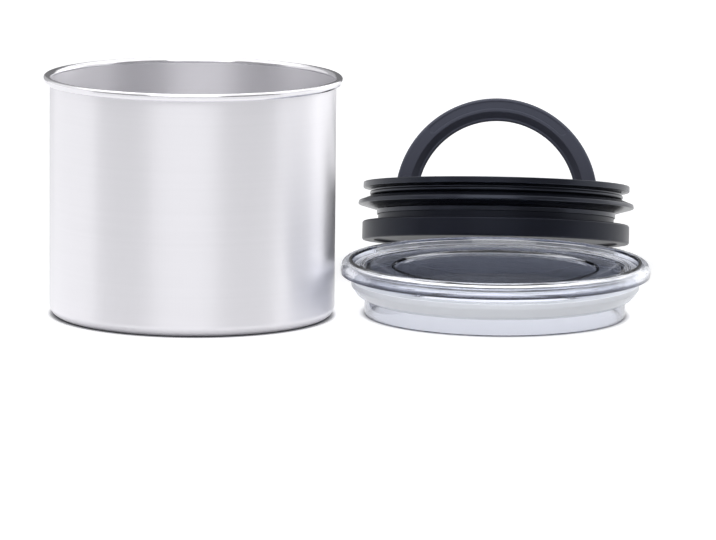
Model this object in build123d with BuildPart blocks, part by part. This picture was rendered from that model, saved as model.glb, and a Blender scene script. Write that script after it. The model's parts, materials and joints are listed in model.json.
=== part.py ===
from build123d import *
import math
import os

os.makedirs("parts", exist_ok=True)

# Lengths are in millimetres and angles in degrees. The floor is at z = 0. The canister stands
# on the origin, x runs to the clear lid beside it, and y runs away from the viewer. The inner
# lid is made in its own leaning frame: its bottom face is at height 0 there and its axis is z.

# Canister: a cup drawn from one sheet, with a rolled rim
can_radius = 60.325
can_height = 101.6
can_sheet = 0.5
can_corner = 4.5
can_foot_width = 6.0
can_bead_width = 9.0
can_bead_slope = 2.5
can_bead_rise = 1.2
can_bead_bend = 1.0
rim_reach = 2.675
rim_depth = 3.2
rim_bend = 1.0
rim_tail_gap = 0.55

# Clear lid: a sheet moulding of one thickness with a plug skirt
lid_overhang = 2.9
lid_height = 23.4
lid_sheet = 1.7
lid_lip_depth = 6.4
lid_lip_slant = 0.6
lid_lip_edge = 0.7
lid_shoulder_bend = 3.9
lid_crest_width = 5.1
lid_crest_bend = 0.6
lid_crest_slope = 1.2
lid_deck_drop = 2.8
lid_deck_bend = 0.6
lid_deck_width = 11.2
lid_centre_drop = 1.2
lid_centre_slope = 0.8
lid_centre_bend = 0.4
lid_bead_step = 1.4
lid_bead_size = 0.6
lid_skirt_gap = 4.425
lid_skirt_wall = 2.0
lid_skirt_edge = 0.8

# Clear lid's gasket: a soft wedge ring in a groove round the skirt
gasket_groove_depth = 0.5
gasket_bottom = 7.0
gasket_height = 7.4
gasket_squeeze = 1.375
gasket_lip_height = 5.2
gasket_lip_round = 1.2
gasket_belly_reach = 3.1
gasket_belly_height = 1.5
gasket_belly_round = 3.0
gasket_top_slope = 0.5
gasket_top_round = 0.5

# Inner lid's pan: the skirt that slides in the canister, and the floor
slide_clearance = 0.3
pan_height = 8.5
pan_wall = 1.8
pan_round = 1.0
pan_floor = 1.6
pan_foot_width = 5.3
pan_foot_height = 1.2
pan_foot_round = 0.4

# Inner lid's top: shoulder, neck, seal seat, dish and valve well
top_shoulder = 1.5
shoulder_step = 5.15
neck_height = 3.0
neck_foot_round = 0.4
seat_step = 0.8
neck_wall = 1.7
top_edge = 1.4
top_edge_reach = 3.4
top_edge_round = 0.4
dish_depth = 11.5
dish_floor = 1.6
dish_corner = 1.5
well_radius = 13.0
well_wall = 1.6
well_plate_rise = 1.8
well_plate = 1.4
vent_count = 6
vent_radius = 1.6
vent_circle = 6.2
cap_ledge_width = 1.6
cap_ledge_drop = 1.0
cap_curb = 0.6
cap_curb_width = 1.4
cap_curb_round = 0.4
rest_rib_length = 8.0
rest_rib_width = 12.0
rest_rib_round = 0.8

# Seals: two soft rings stretched over the neck
fin_squeeze = 1.7
fin_base_reach = 1.4
fin_base_height = 2.1
fin_rise = 2.35
fin_root_reach = 4.2
fin_height = 8.2
fin_tip = 1.7
fin_tip_slant = 0.3
fin_round = 0.6
seal_parting = 0.3
upper_seal_height = 5.9
lip_reach = 7.6
lip_tip = 2.6
lip_droop = 0.9
lip_round = 0.4
bead_reach = 4.7
bead_height = 1.8
bead_round = 0.8
groove_reach = 3.8

# Handle: a half ring with pivot stubs outside and eccentric pins inside
handle_band = 9.9
handle_depth = 5.5
handle_bevel = 0.8
handle_face = 4.6
handle_slope = 3.2
handle_slope_depth = 3.3
handle_lip = 0.7
pivot_rise = 4.7
boss_radius = 3.2
stub_radius = 2.0
stub_length = 3.2
stub_clearance = 0.06
stub_end_gap = 0.3
ear_gap = 0.4
ear_depth = 4.5
ear_half_width = 4.4
ear_bury = 0.5
handle_pad_arc = 86.0
handle_pad_depth = 0.25
handle_pad_margin = 0.5

# Valve: the pins lift the bar, the stem and the disc by the valve's travel
valve_travel = 1.8
pin_radius = 1.2
pin_length = 3.2
pin_clearance = 0.08
pin_wall = 1.1
bar_gap = 0.8
bar_end_length = 3.1
bar_width = 8.0
bar_thickness = 2.2
bar_drop = 0.8
bar_round = 0.4
bar_rib_width = 2.4
bar_rib_height = 0.8
hub_radius = 6.5
stem_foot_radius = 1.5
stem_radius = 2.0
stem_foot_rise = 0.6
stem_clearance = 0.08
stem_flange_inset = 3.2
stem_flange = 0.9
stem_flange_round = 0.3
disc_gap = 1.8
disc_thickness = 1.1
disc_seat_gap = 0.1
disc_edge = 0.3
cap_clearance = 0.1
cap_thickness = 1.4
cap_boss_radius = 3.4
cap_boss_height = 1.0
cap_slot_count = 10
cap_slot_width = 1.6
cap_slot_length = 5.5
cap_slot_circle = 8.6
cap_edge = 0.4
screw_head_radius = 2.8
screw_head_height = 1.4
screw_head_round = 0.6
screw_shank_radius = 0.85
screw_length = 9.0
screw_clearance = 0.05
screw_slot_width = 0.7
screw_slot_depth = 0.8
screen_lap = 0.3
screen_thickness = 0.8
screen_clearance = 0.1
screen_ledge = 1.2
screen_hole_radius = 1.0
screen_hole_pitch = 3.9
screen_ring_count = 3
holes_per_ring_step = 6

# Spring: round wire between the stem's flange and the cap
wire_radius = 0.22
coil_radius = 4.4
coil_turns = 3.0
coil_end_gap = 0.08

# How the pieces stand: the clear lid on the floor, the inner lid leaning on its back edge
stand_gap = 2.275
lean_turn = -4.1
lean_twist = -1.4
rest_gap = 0.31
tilt_rounds = 8

# Clear lid: sizes that follow from the canister
bore_radius = can_radius - can_sheet
lid_radius = can_radius + rim_reach + lid_overhang
lid_skirt_radius = bore_radius - lid_skirt_gap
lid_centre_radius = lid_skirt_radius - lid_skirt_wall - lid_deck_width
lid_bead_radius = lid_skirt_radius + lid_bead_step
gasket_lip_radius = bore_radius + gasket_squeeze
lid_centre_x = can_radius + lid_radius + stand_gap

# Inner lid: radii that follow from the canister's bore
pan_radius = bore_radius - slide_clearance
foot_circle = pan_radius - pan_round
shoulder_radius = pan_radius - pan_wall
neck_radius = shoulder_radius - shoulder_step
seat_radius = neck_radius - seat_step
neck_inner = seat_radius - neck_wall
top_edge_radius = seat_radius + top_edge_reach
fin_radius = bore_radius + fin_squeeze
fin_base_radius = seat_radius + fin_base_reach
fin_root_radius = seat_radius + fin_root_reach
lip_radius = seat_radius + lip_reach
bead_radius = seat_radius + bead_reach
groove_radius = seat_radius + groove_reach
ear_inner = neck_inner - ear_depth
handle_radius = ear_inner - ear_gap
handle_inner = handle_radius - handle_band
bar_reach = handle_inner - bar_gap
cap_radius = well_radius + cap_ledge_width - cap_clearance
disc_radius = well_radius - disc_gap
stem_flange_radius = disc_radius - stem_flange_inset
screen_radius = well_radius + screen_lap

# Inner lid: heights that follow from each other
pan_floor_top = pan_foot_height + pan_floor
seat_bottom = pan_height + neck_height
upper_seal_bottom = seat_bottom + fin_height + seal_parting
top_height = upper_seal_bottom + upper_seal_height
dish_floor_top = top_height - dish_depth
pivot_height = dish_floor_top + pivot_rise
cap_bottom = dish_floor_top - cap_ledge_drop
well_plate_bottom = pan_floor_top + well_plate_rise
well_plate_top = well_plate_bottom + well_plate
stem_bottom = well_plate_bottom + stem_foot_rise
bar_bottom = pivot_height - bar_drop
pin_offset = valve_travel / 2
disc_bottom = well_plate_top + disc_seat_gap + valve_travel
flange_bottom = disc_bottom + disc_thickness
flange_top = flange_bottom + stem_flange
bar_top = bar_bottom + bar_thickness

# Where the inner lid's foot meets the clear lid's shoulder
shoulder_centre = lid_radius - lid_shoulder_bend
contact_radius = shoulder_centre - (lid_crest_width - lid_shoulder_bend) / 2


def find_tilt():
    """Lean at which the pan's foot clears the clear lid's shoulder by the rest gap."""
    lean = 0.0
    for _ in range(tilt_rounds):
        reach = (lid_shoulder_bend + rest_gap) / math.cos(lean) + lid_height - lid_shoulder_bend
        reach -= (contact_radius - shoulder_centre) * math.tan(lean)
        reach -= pan_round * (1 - math.cos(lean))
        lean = math.asin(reach / (2 * foot_circle))
    return lean


tilt = find_tilt()
turn = math.radians(lean_turn)
back = Vector(-math.sin(turn), math.cos(turn), 0)
lean_way = math.radians(lean_turn + lean_twist)
lean_side = Vector(math.cos(lean_way), math.sin(lean_way), 0)
lean_axis = Vector(-math.sin(lean_way), math.cos(lean_way), 0) * math.sin(tilt) + Vector(0, 0, math.cos(tilt))
lean_reach = contact_radius + foot_circle * math.cos(tilt)
lean_lift = pan_round * (1 - math.cos(tilt)) + foot_circle * math.sin(tilt)
lean_origin = Vector(lid_centre_x, 0, lean_lift) + back * lean_reach

standing = Plane.XY
lying = Plane(origin=(lid_centre_x, 0, 0))
leaning = Plane(origin=lean_origin, x_dir=lean_side, z_dir=lean_axis)


def upright(plane):
    """Plane that holds the frame's axis: its x runs outwards and its y runs up the axis."""
    return Plane(origin=plane.origin, x_dir=plane.x_dir, z_dir=-plane.y_dir)


def sideways(plane, out):
    """Plane across the frame's x axis: its x runs back and its y runs up."""
    return Plane(origin=plane.from_local_coords((out, 0, 0)), x_dir=plane.y_dir, z_dir=plane.x_dir)


def axis_of(plane):
    """The axis that a frame's turned pieces share."""
    return Axis(plane.origin, plane.z_dir)


def section(plane, corners):
    """Half section of a turned piece, from corners of (radius, height, corner round)."""
    points = [(out, up) for out, up, _ in corners]
    bends = [bend for _, _, bend in corners]
    with BuildSketch(upright(plane)) as half:
        with BuildLine():
            FilletPolyline(*points, radius=bends, close=True)
        make_face()
    return half.sketch


def sheet_section(plane, corners, ends, sheet):
    """Half section of a bent sheet whose thickness lies to the left of a run of corners."""
    stops = [Vector(*ends[0])] + [Vector(out, up) for out, up, _ in corners] + [Vector(*ends[1])]
    bends = [0] + [bend for _, _, bend in corners] + [0]
    runs = [(after - before).normalized() for before, after in zip(stops, stops[1:])]
    far_side = []
    for index, stop in enumerate(stops):
        arrive, leave = runs[max(index - 1, 0)], runs[min(index, len(runs) - 1)]
        middle = arrive + leave
        across = Vector(-middle.Y, middle.X) * (sheet / (1 + arrive.dot(leave)))
        inward = math.copysign(sheet, arrive.cross(leave).Z * sheet)
        bend = max(bends[index] - inward, 0) if bends[index] else 0
        far_side.append((stop + across, bend))
    outline = list(zip(stops, bends)) + far_side[::-1]
    with BuildSketch(upright(plane)) as half:
        with BuildLine():
            FilletPolyline(*[stop for stop, _ in outline], radius=[bend for _, bend in outline], close=True)
        make_face()
    return half.sketch


def save(piece, name):
    """Label a finished piece and write it under its own name."""
    piece.label = name
    export_step(piece, f"parts/{name}.step")


# Canister body
bead_outer = can_radius - can_corner - can_foot_width
bead_inner = bead_outer - can_bead_width
rim_inside = can_radius + rim_reach - can_sheet
rim_ceiling = can_height - can_sheet
rim_floor = can_height - rim_depth + can_sheet
can_bends = [
    (bead_inner, 0, can_bead_bend),
    (bead_inner + can_bead_slope, can_bead_rise, can_bead_bend),
    (bead_outer - can_bead_slope, can_bead_rise, can_bead_bend),
    (bead_outer, 0, can_bead_bend),
    (can_radius, 0, can_corner),
    (can_radius, rim_ceiling, rim_bend),
    (rim_inside, rim_ceiling, rim_bend),
    (rim_inside, rim_floor, rim_bend),
]
can_ends = [(0, 0), (can_radius + rim_tail_gap, rim_floor)]
with BuildPart() as canister_body:
    revolve(sheet_section(standing, can_bends, can_ends, can_sheet), axis_of(standing))
save(canister_body.part, "canister_body")

# Clear lid's shell: the top sheet with its raised edge and lip, the plug skirt and a bead
deck = lid_height - lid_deck_drop
crest_inner = lid_radius - lid_crest_width
crest_foot = crest_inner - lid_crest_slope
lip_lean = math.atan(lid_lip_slant / lid_lip_depth)
lip_corner = shoulder_centre + lid_shoulder_bend * (1 + math.sin(lip_lean)) / math.cos(lip_lean)
lid_bends = [
    (lid_centre_radius, deck - lid_centre_drop, lid_centre_bend),
    (lid_centre_radius + lid_centre_slope, deck, lid_centre_bend),
    (crest_foot, deck, lid_deck_bend),
    (crest_inner, lid_height, lid_crest_bend),
    (lip_corner, lid_height, lid_shoulder_bend),
]
lid_ends = [(0, deck - lid_centre_drop), (lip_corner - lid_lip_slant, lid_height - lid_lip_depth)]
groove_inner = lid_skirt_radius - gasket_groove_depth
gasket_top = gasket_bottom + gasket_height
skirt_top = deck - lid_sheet / 2
skirt_corners = [
    (lid_skirt_radius - lid_skirt_wall, 0, lid_skirt_edge / 2),
    (lid_skirt_radius, 0, lid_skirt_edge),
    (lid_skirt_radius, gasket_bottom, 0),
    (groove_inner, gasket_bottom, 0),
    (groove_inner, gasket_top, 0),
    (lid_skirt_radius, gasket_top, 0),
    (lid_skirt_radius, skirt_top, 0),
    (lid_skirt_radius - lid_skirt_wall, skirt_top, 0),
]
with BuildPart() as lid_shell:
    revolve(sheet_section(lying, lid_bends, lid_ends, -lid_sheet), axis_of(lying))
    lip_rings = lid_shell.edges().sort_by(Axis.Z)[:2]
    fillet(lip_rings, radius=lid_lip_edge)
    revolve(section(lying, skirt_corners), axis_of(lying))
    with BuildSketch(upright(lying)):
        with Locations((lid_bead_radius, deck)):
            Circle(lid_bead_size)
    revolve(axis=axis_of(lying))
save(lid_shell.part, "lid_shell")

# Clear lid's gasket: widest near its top, drawn in to the skirt below
lip_level = gasket_bottom + gasket_lip_height
gasket_corners = [
    (groove_inner, gasket_bottom, 0),
    (lid_skirt_radius, gasket_bottom, 0),
    (lid_skirt_radius + gasket_belly_reach, gasket_bottom + gasket_belly_height, gasket_belly_round),
    (gasket_lip_radius, lip_level, gasket_lip_round),
    (gasket_lip_radius - gasket_top_slope, gasket_top, gasket_top_round),
    (groove_inner, gasket_top, 0),
]
with BuildPart() as lid_gasket:
    revolve(section(lying, gasket_corners), axis_of(lying))
save(lid_gasket.part, "lid_gasket")

# Inner lid's base: a pan with a foot ring round its recessed floor, open for the valve screen
foot_inner = pan_radius - pan_foot_width
screen_seat = screen_radius + screen_clearance
screen_top = pan_foot_height + screen_thickness
pan_corners = [
    (screen_seat, pan_foot_height, 0),
    (foot_inner, pan_foot_height, pan_foot_round),
    (foot_inner, 0, pan_foot_round),
    (pan_radius, 0, pan_round),
    (pan_radius, pan_height, pan_round),
    (shoulder_radius, pan_height, 0),
    (shoulder_radius, pan_floor_top, pan_foot_round),
    (screen_radius - screen_ledge, pan_floor_top, 0),
    (screen_radius - screen_ledge, screen_top, 0),
    (screen_seat, screen_top, 0),
]
with BuildPart() as inner_lid_base:
    revolve(section(leaning, pan_corners), axis_of(leaning))
save(inner_lid_base.part, "inner_lid_base")

# Inner lid's top: shoulder plate, neck, seal seat and edge
edge_bottom = top_height - top_edge
dish_bottom = dish_floor_top - dish_floor
well_outer = well_radius + well_wall
cap_seat = well_radius + cap_ledge_width
curb_outer = cap_seat + well_wall + cap_curb_width
neck_corners = [
    (neck_inner, pan_height - top_shoulder, 0),
    (shoulder_radius, pan_height - top_shoulder, 0),
    (shoulder_radius, pan_height, 0),
    (neck_radius, pan_height, neck_foot_round),
    (neck_radius, seat_bottom, 0),
    (seat_radius, seat_bottom, 0),
    (seat_radius, edge_bottom, 0),
    (top_edge_radius, edge_bottom, 0),
    (top_edge_radius, top_height, top_edge_round),
    (neck_inner, top_height, top_edge_round),
    (neck_inner, dish_floor_top, dish_corner),
    (curb_outer, dish_floor_top, 0),
    (curb_outer, dish_floor_top + cap_curb, cap_curb_round),
    (cap_seat, dish_floor_top + cap_curb, 0),
    (cap_seat, cap_bottom, 0),
    (well_radius, cap_bottom, 0),
    (well_radius, well_plate_top, 0),
    (stem_foot_radius + stem_clearance, well_plate_top, 0),
    (stem_foot_radius + stem_clearance, well_plate_bottom, 0),
    (well_radius, well_plate_bottom, 0),
    (well_radius, pan_floor_top, 0),
    (well_outer, pan_floor_top, 0),
    (well_outer, dish_bottom - cap_ledge_drop, 0),
    (cap_seat + well_wall, dish_bottom, 0),
    (neck_inner, dish_bottom, 0),
]
stub_bore = stub_radius + stub_clearance
stub_hole = stub_length - ear_gap + stub_end_gap
rest_rib_height = pivot_height - handle_depth / 2 - rest_gap - dish_floor_top
with BuildPart(leaning) as inner_lid_top:
    revolve(section(leaning, neck_corners), axis_of(leaning))
    for hand in (-1, 1):
        ear_face = sideways(leaning, hand * ear_inner)
        with BuildSketch(ear_face):
            with Locations((0, pivot_height)):
                Circle(ear_half_width)
            with Locations((0, dish_floor_top)):
                Rectangle(2 * ear_half_width, pivot_height - dish_floor_top, align=(Align.CENTER, Align.MIN))
        extrude(amount=hand * (ear_depth + ear_bury))
        with BuildSketch(ear_face):
            with Locations((0, pivot_height)):
                Circle(stub_bore)
        extrude(amount=hand * stub_hole, mode=Mode.SUBTRACT)
    with BuildSketch(leaning.offset(well_plate_top)):
        with PolarLocations(vent_circle, vent_count):
            Circle(vent_radius)
    extrude(amount=-well_plate, mode=Mode.SUBTRACT)
    with BuildSketch(leaning.offset(dish_floor_top)):
        with Locations((0, handle_radius - handle_band / 2)):
            RectangleRounded(rest_rib_width, rest_rib_length, rest_rib_round)
    extrude(amount=rest_rib_height)
    rest_top = inner_lid_top.faces(Select.LAST).sort_by(axis_of(leaning))[-1]
    fillet(rest_top.edges(), radius=rest_rib_round / 2)
save(inner_lid_top.part, "inner_lid_top")

# Lower seal: a ring with a fin that slopes down and out to wipe the canister
fin_bottom = seat_bottom + fin_base_height
fin_top = seat_bottom + fin_height
fin_tip_low = fin_bottom + fin_rise
fin_corners = [
    (seat_radius, seat_bottom, 0),
    (fin_base_radius, seat_bottom, 0),
    (fin_base_radius, fin_bottom, fin_round),
    (fin_radius, fin_tip_low, fin_round),
    (fin_radius - fin_tip_slant, fin_tip_low + fin_tip, fin_round),
    (fin_root_radius, fin_top, fin_round),
    (seat_radius, fin_top, 0),
]
with BuildPart() as lower_fin_seal:
    revolve(section(leaning, fin_corners), axis_of(leaning))
save(lower_fin_seal.part, "lower_fin_seal")

# Upper seal: a bead, a groove and a thin lip flush with the lid's top edge
bead_top = upper_seal_bottom + bead_height
lip_bottom = top_height - lip_tip
lip_corners = [
    (seat_radius, upper_seal_bottom, 0),
    (bead_radius, upper_seal_bottom, bead_round),
    (bead_radius, bead_top, bead_round),
    (groove_radius, bead_top, 0),
    (groove_radius, lip_bottom - lip_droop, lip_round),
    (lip_radius, lip_bottom, lip_round),
    (lip_radius, top_height, lip_round),
    (top_edge_radius, top_height, 0),
    (top_edge_radius, edge_bottom, 0),
    (seat_radius, edge_bottom, 0),
]
with BuildPart() as upper_lip_seal:
    revolve(section(leaning, lip_corners), axis_of(leaning))
save(upper_lip_seal.part, "upper_lip_seal")

# Handle: the band's section is turned through half a circle about the pivot line's middle
hinge = Plane(
    origin=leaning.from_local_coords((0, 0, pivot_height)), x_dir=leaning.x_dir, z_dir=-leaning.y_dir
)
band_section = Plane(origin=hinge.origin, x_dir=hinge.x_dir, z_dir=leaning.z_dir)
front = -handle_depth / 2
face_inner = handle_radius - handle_bevel - handle_face
slope_inner = face_inner - handle_slope
band_corners = [
    (handle_radius, front + handle_bevel),
    (handle_radius - handle_bevel, front),
    (face_inner, front),
    (slope_inner, front + handle_slope_depth),
    (slope_inner - handle_lip, front + handle_slope_depth),
    (handle_inner, front + handle_slope_depth + handle_lip),
    (handle_inner, -front),
    (handle_radius - handle_bevel, -front),
    (handle_radius, -front - handle_bevel),
]
pad_half_arc = handle_pad_arc / 2
pad_inner = face_inner + handle_pad_margin
pad_outer = handle_radius - handle_bevel - handle_pad_margin
pad_middle = (pad_inner + pad_outer) / 2
with BuildPart(leaning) as handle:
    with BuildSketch(band_section):
        with BuildLine():
            Polyline(*band_corners, close=True)
        make_face()
    revolve(axis=Axis(hinge.origin, hinge.z_dir), revolution_arc=180)
    with BuildSketch(hinge.offset(-front)):
        with BuildLine():
            CenterArc((0, 0), pad_middle, 90 - pad_half_arc, handle_pad_arc)
        trace(line_width=pad_outer - pad_inner)
        with PolarLocations(pad_middle, 2, 90 - pad_half_arc, handle_pad_arc, endpoint=True):
            Circle((pad_outer - pad_inner) / 2)
    extrude(amount=-handle_pad_depth, mode=Mode.SUBTRACT)
    for hand in (-1, 1):
        leg_inner = sideways(leaning, hand * handle_inner)
        leg_outer = sideways(leaning, hand * handle_radius)
        with BuildSketch(leg_inner):
            with Locations((0, pivot_height)):
                Circle(boss_radius)
        extrude(amount=hand * handle_band)
        with BuildSketch(leg_outer):
            with Locations((0, pivot_height)):
                Circle(stub_radius)
        extrude(amount=hand * stub_length)
        with BuildSketch(leg_inner):
            with Locations((pin_offset, pivot_height + pin_offset)):
                Circle(pin_radius)
        extrude(amount=-hand * pin_length)
save(handle.part, "handle")

# Valve lifter: a cross bar whose slotted ends ride on the handle's eccentric pins
pin_throw = pin_offset * math.sqrt(2)
slot_middle = (pin_offset + pin_throw) / 2
slot_half_height = pin_radius + pin_clearance
slot_length = pin_throw - pin_offset + 2 * slot_half_height
end_half_height = slot_half_height + pin_wall
end_width = slot_length + 2 * pin_wall
end_middle = pivot_height + pin_offset
shank_bore = screw_shank_radius + screw_clearance
with BuildPart(leaning) as valve_lifter:
    with BuildSketch(leaning.offset(bar_bottom)):
        Rectangle(2 * bar_reach, bar_width)
        Circle(hub_radius)
    extrude(amount=bar_thickness)
    fillet(valve_lifter.edges().filter_by(axis_of(leaning)), radius=bar_round)
    with BuildSketch(leaning.offset(bar_top)):
        with Locations((-bar_reach / 2, 0), (bar_reach / 2, 0)):
            Rectangle(bar_reach - hub_radius, bar_rib_width)
    extrude(amount=bar_rib_height)
    for hand in (-1, 1):
        end_face = sideways(leaning, hand * bar_reach)
        with BuildSketch(end_face):
            with Locations((slot_middle, end_middle)):
                RectangleRounded(end_width, 2 * end_half_height, pin_radius)
        extrude(amount=-hand * bar_end_length)
        with BuildSketch(end_face):
            with Locations((slot_middle, end_middle)):
                SlotOverall(slot_length, 2 * slot_half_height)
        extrude(amount=-hand * bar_end_length, mode=Mode.SUBTRACT)
    with BuildSketch(leaning.offset(bar_top)):
        Circle(shank_bore)
    extrude(amount=-bar_thickness, mode=Mode.SUBTRACT)
save(valve_lifter.part, "valve_lifter")

# Valve stem: guided below in the well's plate and above in the cap
stem_corners = [
    (0, stem_bottom, 0),
    (stem_foot_radius, stem_bottom, 0),
    (stem_foot_radius, flange_bottom, 0),
    (stem_flange_radius, flange_bottom, 0),
    (stem_flange_radius, flange_top, stem_flange_round),
    (stem_radius, flange_top, 0),
    (stem_radius, bar_bottom, 0),
    (shank_bore, bar_bottom, 0),
    (shank_bore, bar_top - screw_length - screw_clearance, 0),
    (0, bar_top - screw_length - screw_clearance, 0),
]
with BuildPart() as valve_stem:
    revolve(section(leaning, stem_corners), axis_of(leaning))
save(valve_stem.part, "valve_stem")

# Valve disc: soft, gripped on the stem's foot under the flange
disc_corners = [
    (stem_foot_radius, disc_bottom, 0),
    (disc_radius, disc_bottom, disc_edge),
    (disc_radius, flange_bottom, disc_edge),
    (stem_foot_radius, flange_bottom, 0),
]
with BuildPart() as valve_disc:
    revolve(section(leaning, disc_corners), axis_of(leaning))
save(valve_disc.part, "valve_disc")

# Stem screw: a pan head with a cross recess
head_top = bar_top + screw_head_height
screw_corners = [
    (0, bar_top - screw_length, 0),
    (screw_shank_radius, bar_top - screw_length, 0),
    (screw_shank_radius, bar_top, 0),
    (screw_head_radius, bar_top, 0),
    (screw_head_radius, head_top, screw_head_round),
    (0, head_top, 0),
]
with BuildPart() as stem_screw:
    revolve(section(leaning, screw_corners), axis_of(leaning))
    with BuildSketch(leaning.offset(head_top)):
        Rectangle(screw_head_radius, screw_slot_width)
        Rectangle(screw_slot_width, screw_head_radius)
    extrude(amount=-screw_slot_depth, mode=Mode.SUBTRACT)
save(stem_screw.part, "stem_screw")

# Valve cap: a slotted cover with a guide boss for the stem
cap_top = cap_bottom + cap_thickness
stem_guide = stem_radius + stem_clearance
cap_corners = [
    (stem_guide, cap_bottom - cap_boss_height, 0),
    (cap_boss_radius, cap_bottom - cap_boss_height, 0),
    (cap_boss_radius, cap_bottom, 0),
    (cap_radius, cap_bottom, 0),
    (cap_radius, cap_top, cap_edge),
    (stem_guide, cap_top, 0),
]
with BuildPart() as valve_cap:
    revolve(section(leaning, cap_corners), axis_of(leaning))
    with BuildSketch(leaning.offset(cap_top)):
        with PolarLocations(cap_slot_circle, cap_slot_count):
            SlotOverall(cap_slot_length, cap_slot_width)
    extrude(amount=-cap_thickness, mode=Mode.SUBTRACT)
save(valve_cap.part, "valve_cap")

# Valve screen: a perforated disc, flush in the pan's floor
with BuildPart() as valve_screen:
    with BuildSketch(leaning.offset(pan_foot_height)):
        Circle(screen_radius)
        Circle(screen_hole_radius, mode=Mode.SUBTRACT)
        for ring in range(1, screen_ring_count):
            with PolarLocations(ring * screen_hole_pitch, ring * holes_per_ring_step):
                Circle(screen_hole_radius, mode=Mode.SUBTRACT)
    extrude(amount=screen_thickness)
save(valve_screen.part, "valve_screen")


# Valve spring: one wire along a helix, each quarter turn drawn as two arcs that share a tangent
spring_low = flange_top + coil_end_gap + wire_radius
spring_high = cap_bottom - coil_end_gap - wire_radius
spring_pitch = (spring_high - spring_low) / coil_turns
quarter_steps = 4


def helix_point(quarter):
    """Point of the spring's centre line after this many quarter turns."""
    angle = math.pi / 2 * quarter
    height = spring_low + spring_pitch * quarter / quarter_steps
    return leaning.from_local_coords((coil_radius * math.cos(angle), coil_radius * math.sin(angle), height))


def helix_heading(quarter):
    """Unit tangent of the centre line there."""
    angle = math.pi / 2 * quarter
    around = leaning.y_dir * math.cos(angle) - leaning.x_dir * math.sin(angle)
    return (around * (2 * math.pi * coil_radius) + leaning.z_dir * spring_pitch).normalized()


def biarc(quarter):
    """Ends, joint and headings of the two arcs that span one quarter turn."""
    start, end = helix_point(quarter), helix_point(quarter + 1)
    leave, arrive = helix_heading(quarter), helix_heading(quarter + 1)
    span = end - start
    along = span.dot(leave + arrive)
    spread = 2 * (1 - leave.dot(arrive))
    reach = (math.sqrt(along * along + spread * span.dot(span)) - along) / spread
    joint = (start + end + (leave - arrive) * reach) * 0.5
    heading = (end - arrive * reach) - (start + leave * reach)
    return start, joint, end, leave, heading


with BuildPart() as valve_spring:
    with BuildLine() as centre_line:
        for quarter in range(round(coil_turns * quarter_steps)):
            start, joint, end, leave, heading = biarc(quarter)
            TangentArc(start, joint, tangent=leave)
            TangentArc(joint, end, tangent=heading)
    wire_start = centre_line.wires()[0]
    with BuildSketch(Plane(origin=wire_start @ 0, z_dir=wire_start % 0)):
        Circle(wire_radius)
    sweep(path=wire_start)
save(valve_spring.part, "valve_spring")
print("spring: least gap to itself", round(spring_pitch - 2 * wire_radius, 3), "mm")
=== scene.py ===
"""Looks of an open steel coffee canister, its clear lid and its black inner lid with an air valve."""

import json
import logging
import math
from dataclasses import dataclass
from enum import Enum
from typing import Iterable, NamedTuple

import bmesh
import bpy
from mathutils import Matrix, Vector


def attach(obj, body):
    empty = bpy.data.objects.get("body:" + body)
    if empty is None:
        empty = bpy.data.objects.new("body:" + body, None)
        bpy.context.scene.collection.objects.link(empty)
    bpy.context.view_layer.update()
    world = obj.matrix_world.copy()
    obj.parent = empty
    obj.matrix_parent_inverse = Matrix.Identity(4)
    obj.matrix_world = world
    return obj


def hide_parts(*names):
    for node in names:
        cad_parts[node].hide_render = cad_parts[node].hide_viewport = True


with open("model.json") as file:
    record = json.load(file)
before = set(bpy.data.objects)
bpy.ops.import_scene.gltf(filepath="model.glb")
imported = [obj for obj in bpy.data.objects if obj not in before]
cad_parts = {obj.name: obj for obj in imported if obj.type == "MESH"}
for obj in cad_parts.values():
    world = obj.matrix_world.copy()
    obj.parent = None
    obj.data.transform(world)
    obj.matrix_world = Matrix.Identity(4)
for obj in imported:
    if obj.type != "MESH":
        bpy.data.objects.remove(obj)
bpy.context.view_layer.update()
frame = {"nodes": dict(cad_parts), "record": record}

MM = 0.001
FIT = 0.04
PAINTED_SHADE_SHARE = "painted_shade_share"
Socket = bpy.types.NodeSocket
Color = tuple[float, float, float]
log = logging.getLogger("canister")


class Corner(NamedTuple):
    """Corner of a turned piece's half section, in millimetres."""

    out: float
    up: float
    bend: float = 0.0


class Stop(NamedTuple):
    """Point of a finished section line, in millimetres."""

    out: float
    up: float


class Ends(Enum):
    """How a section line ends."""

    ON_AXIS = "on the axis"
    RING = "joined to its start"


# Section lines


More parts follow.
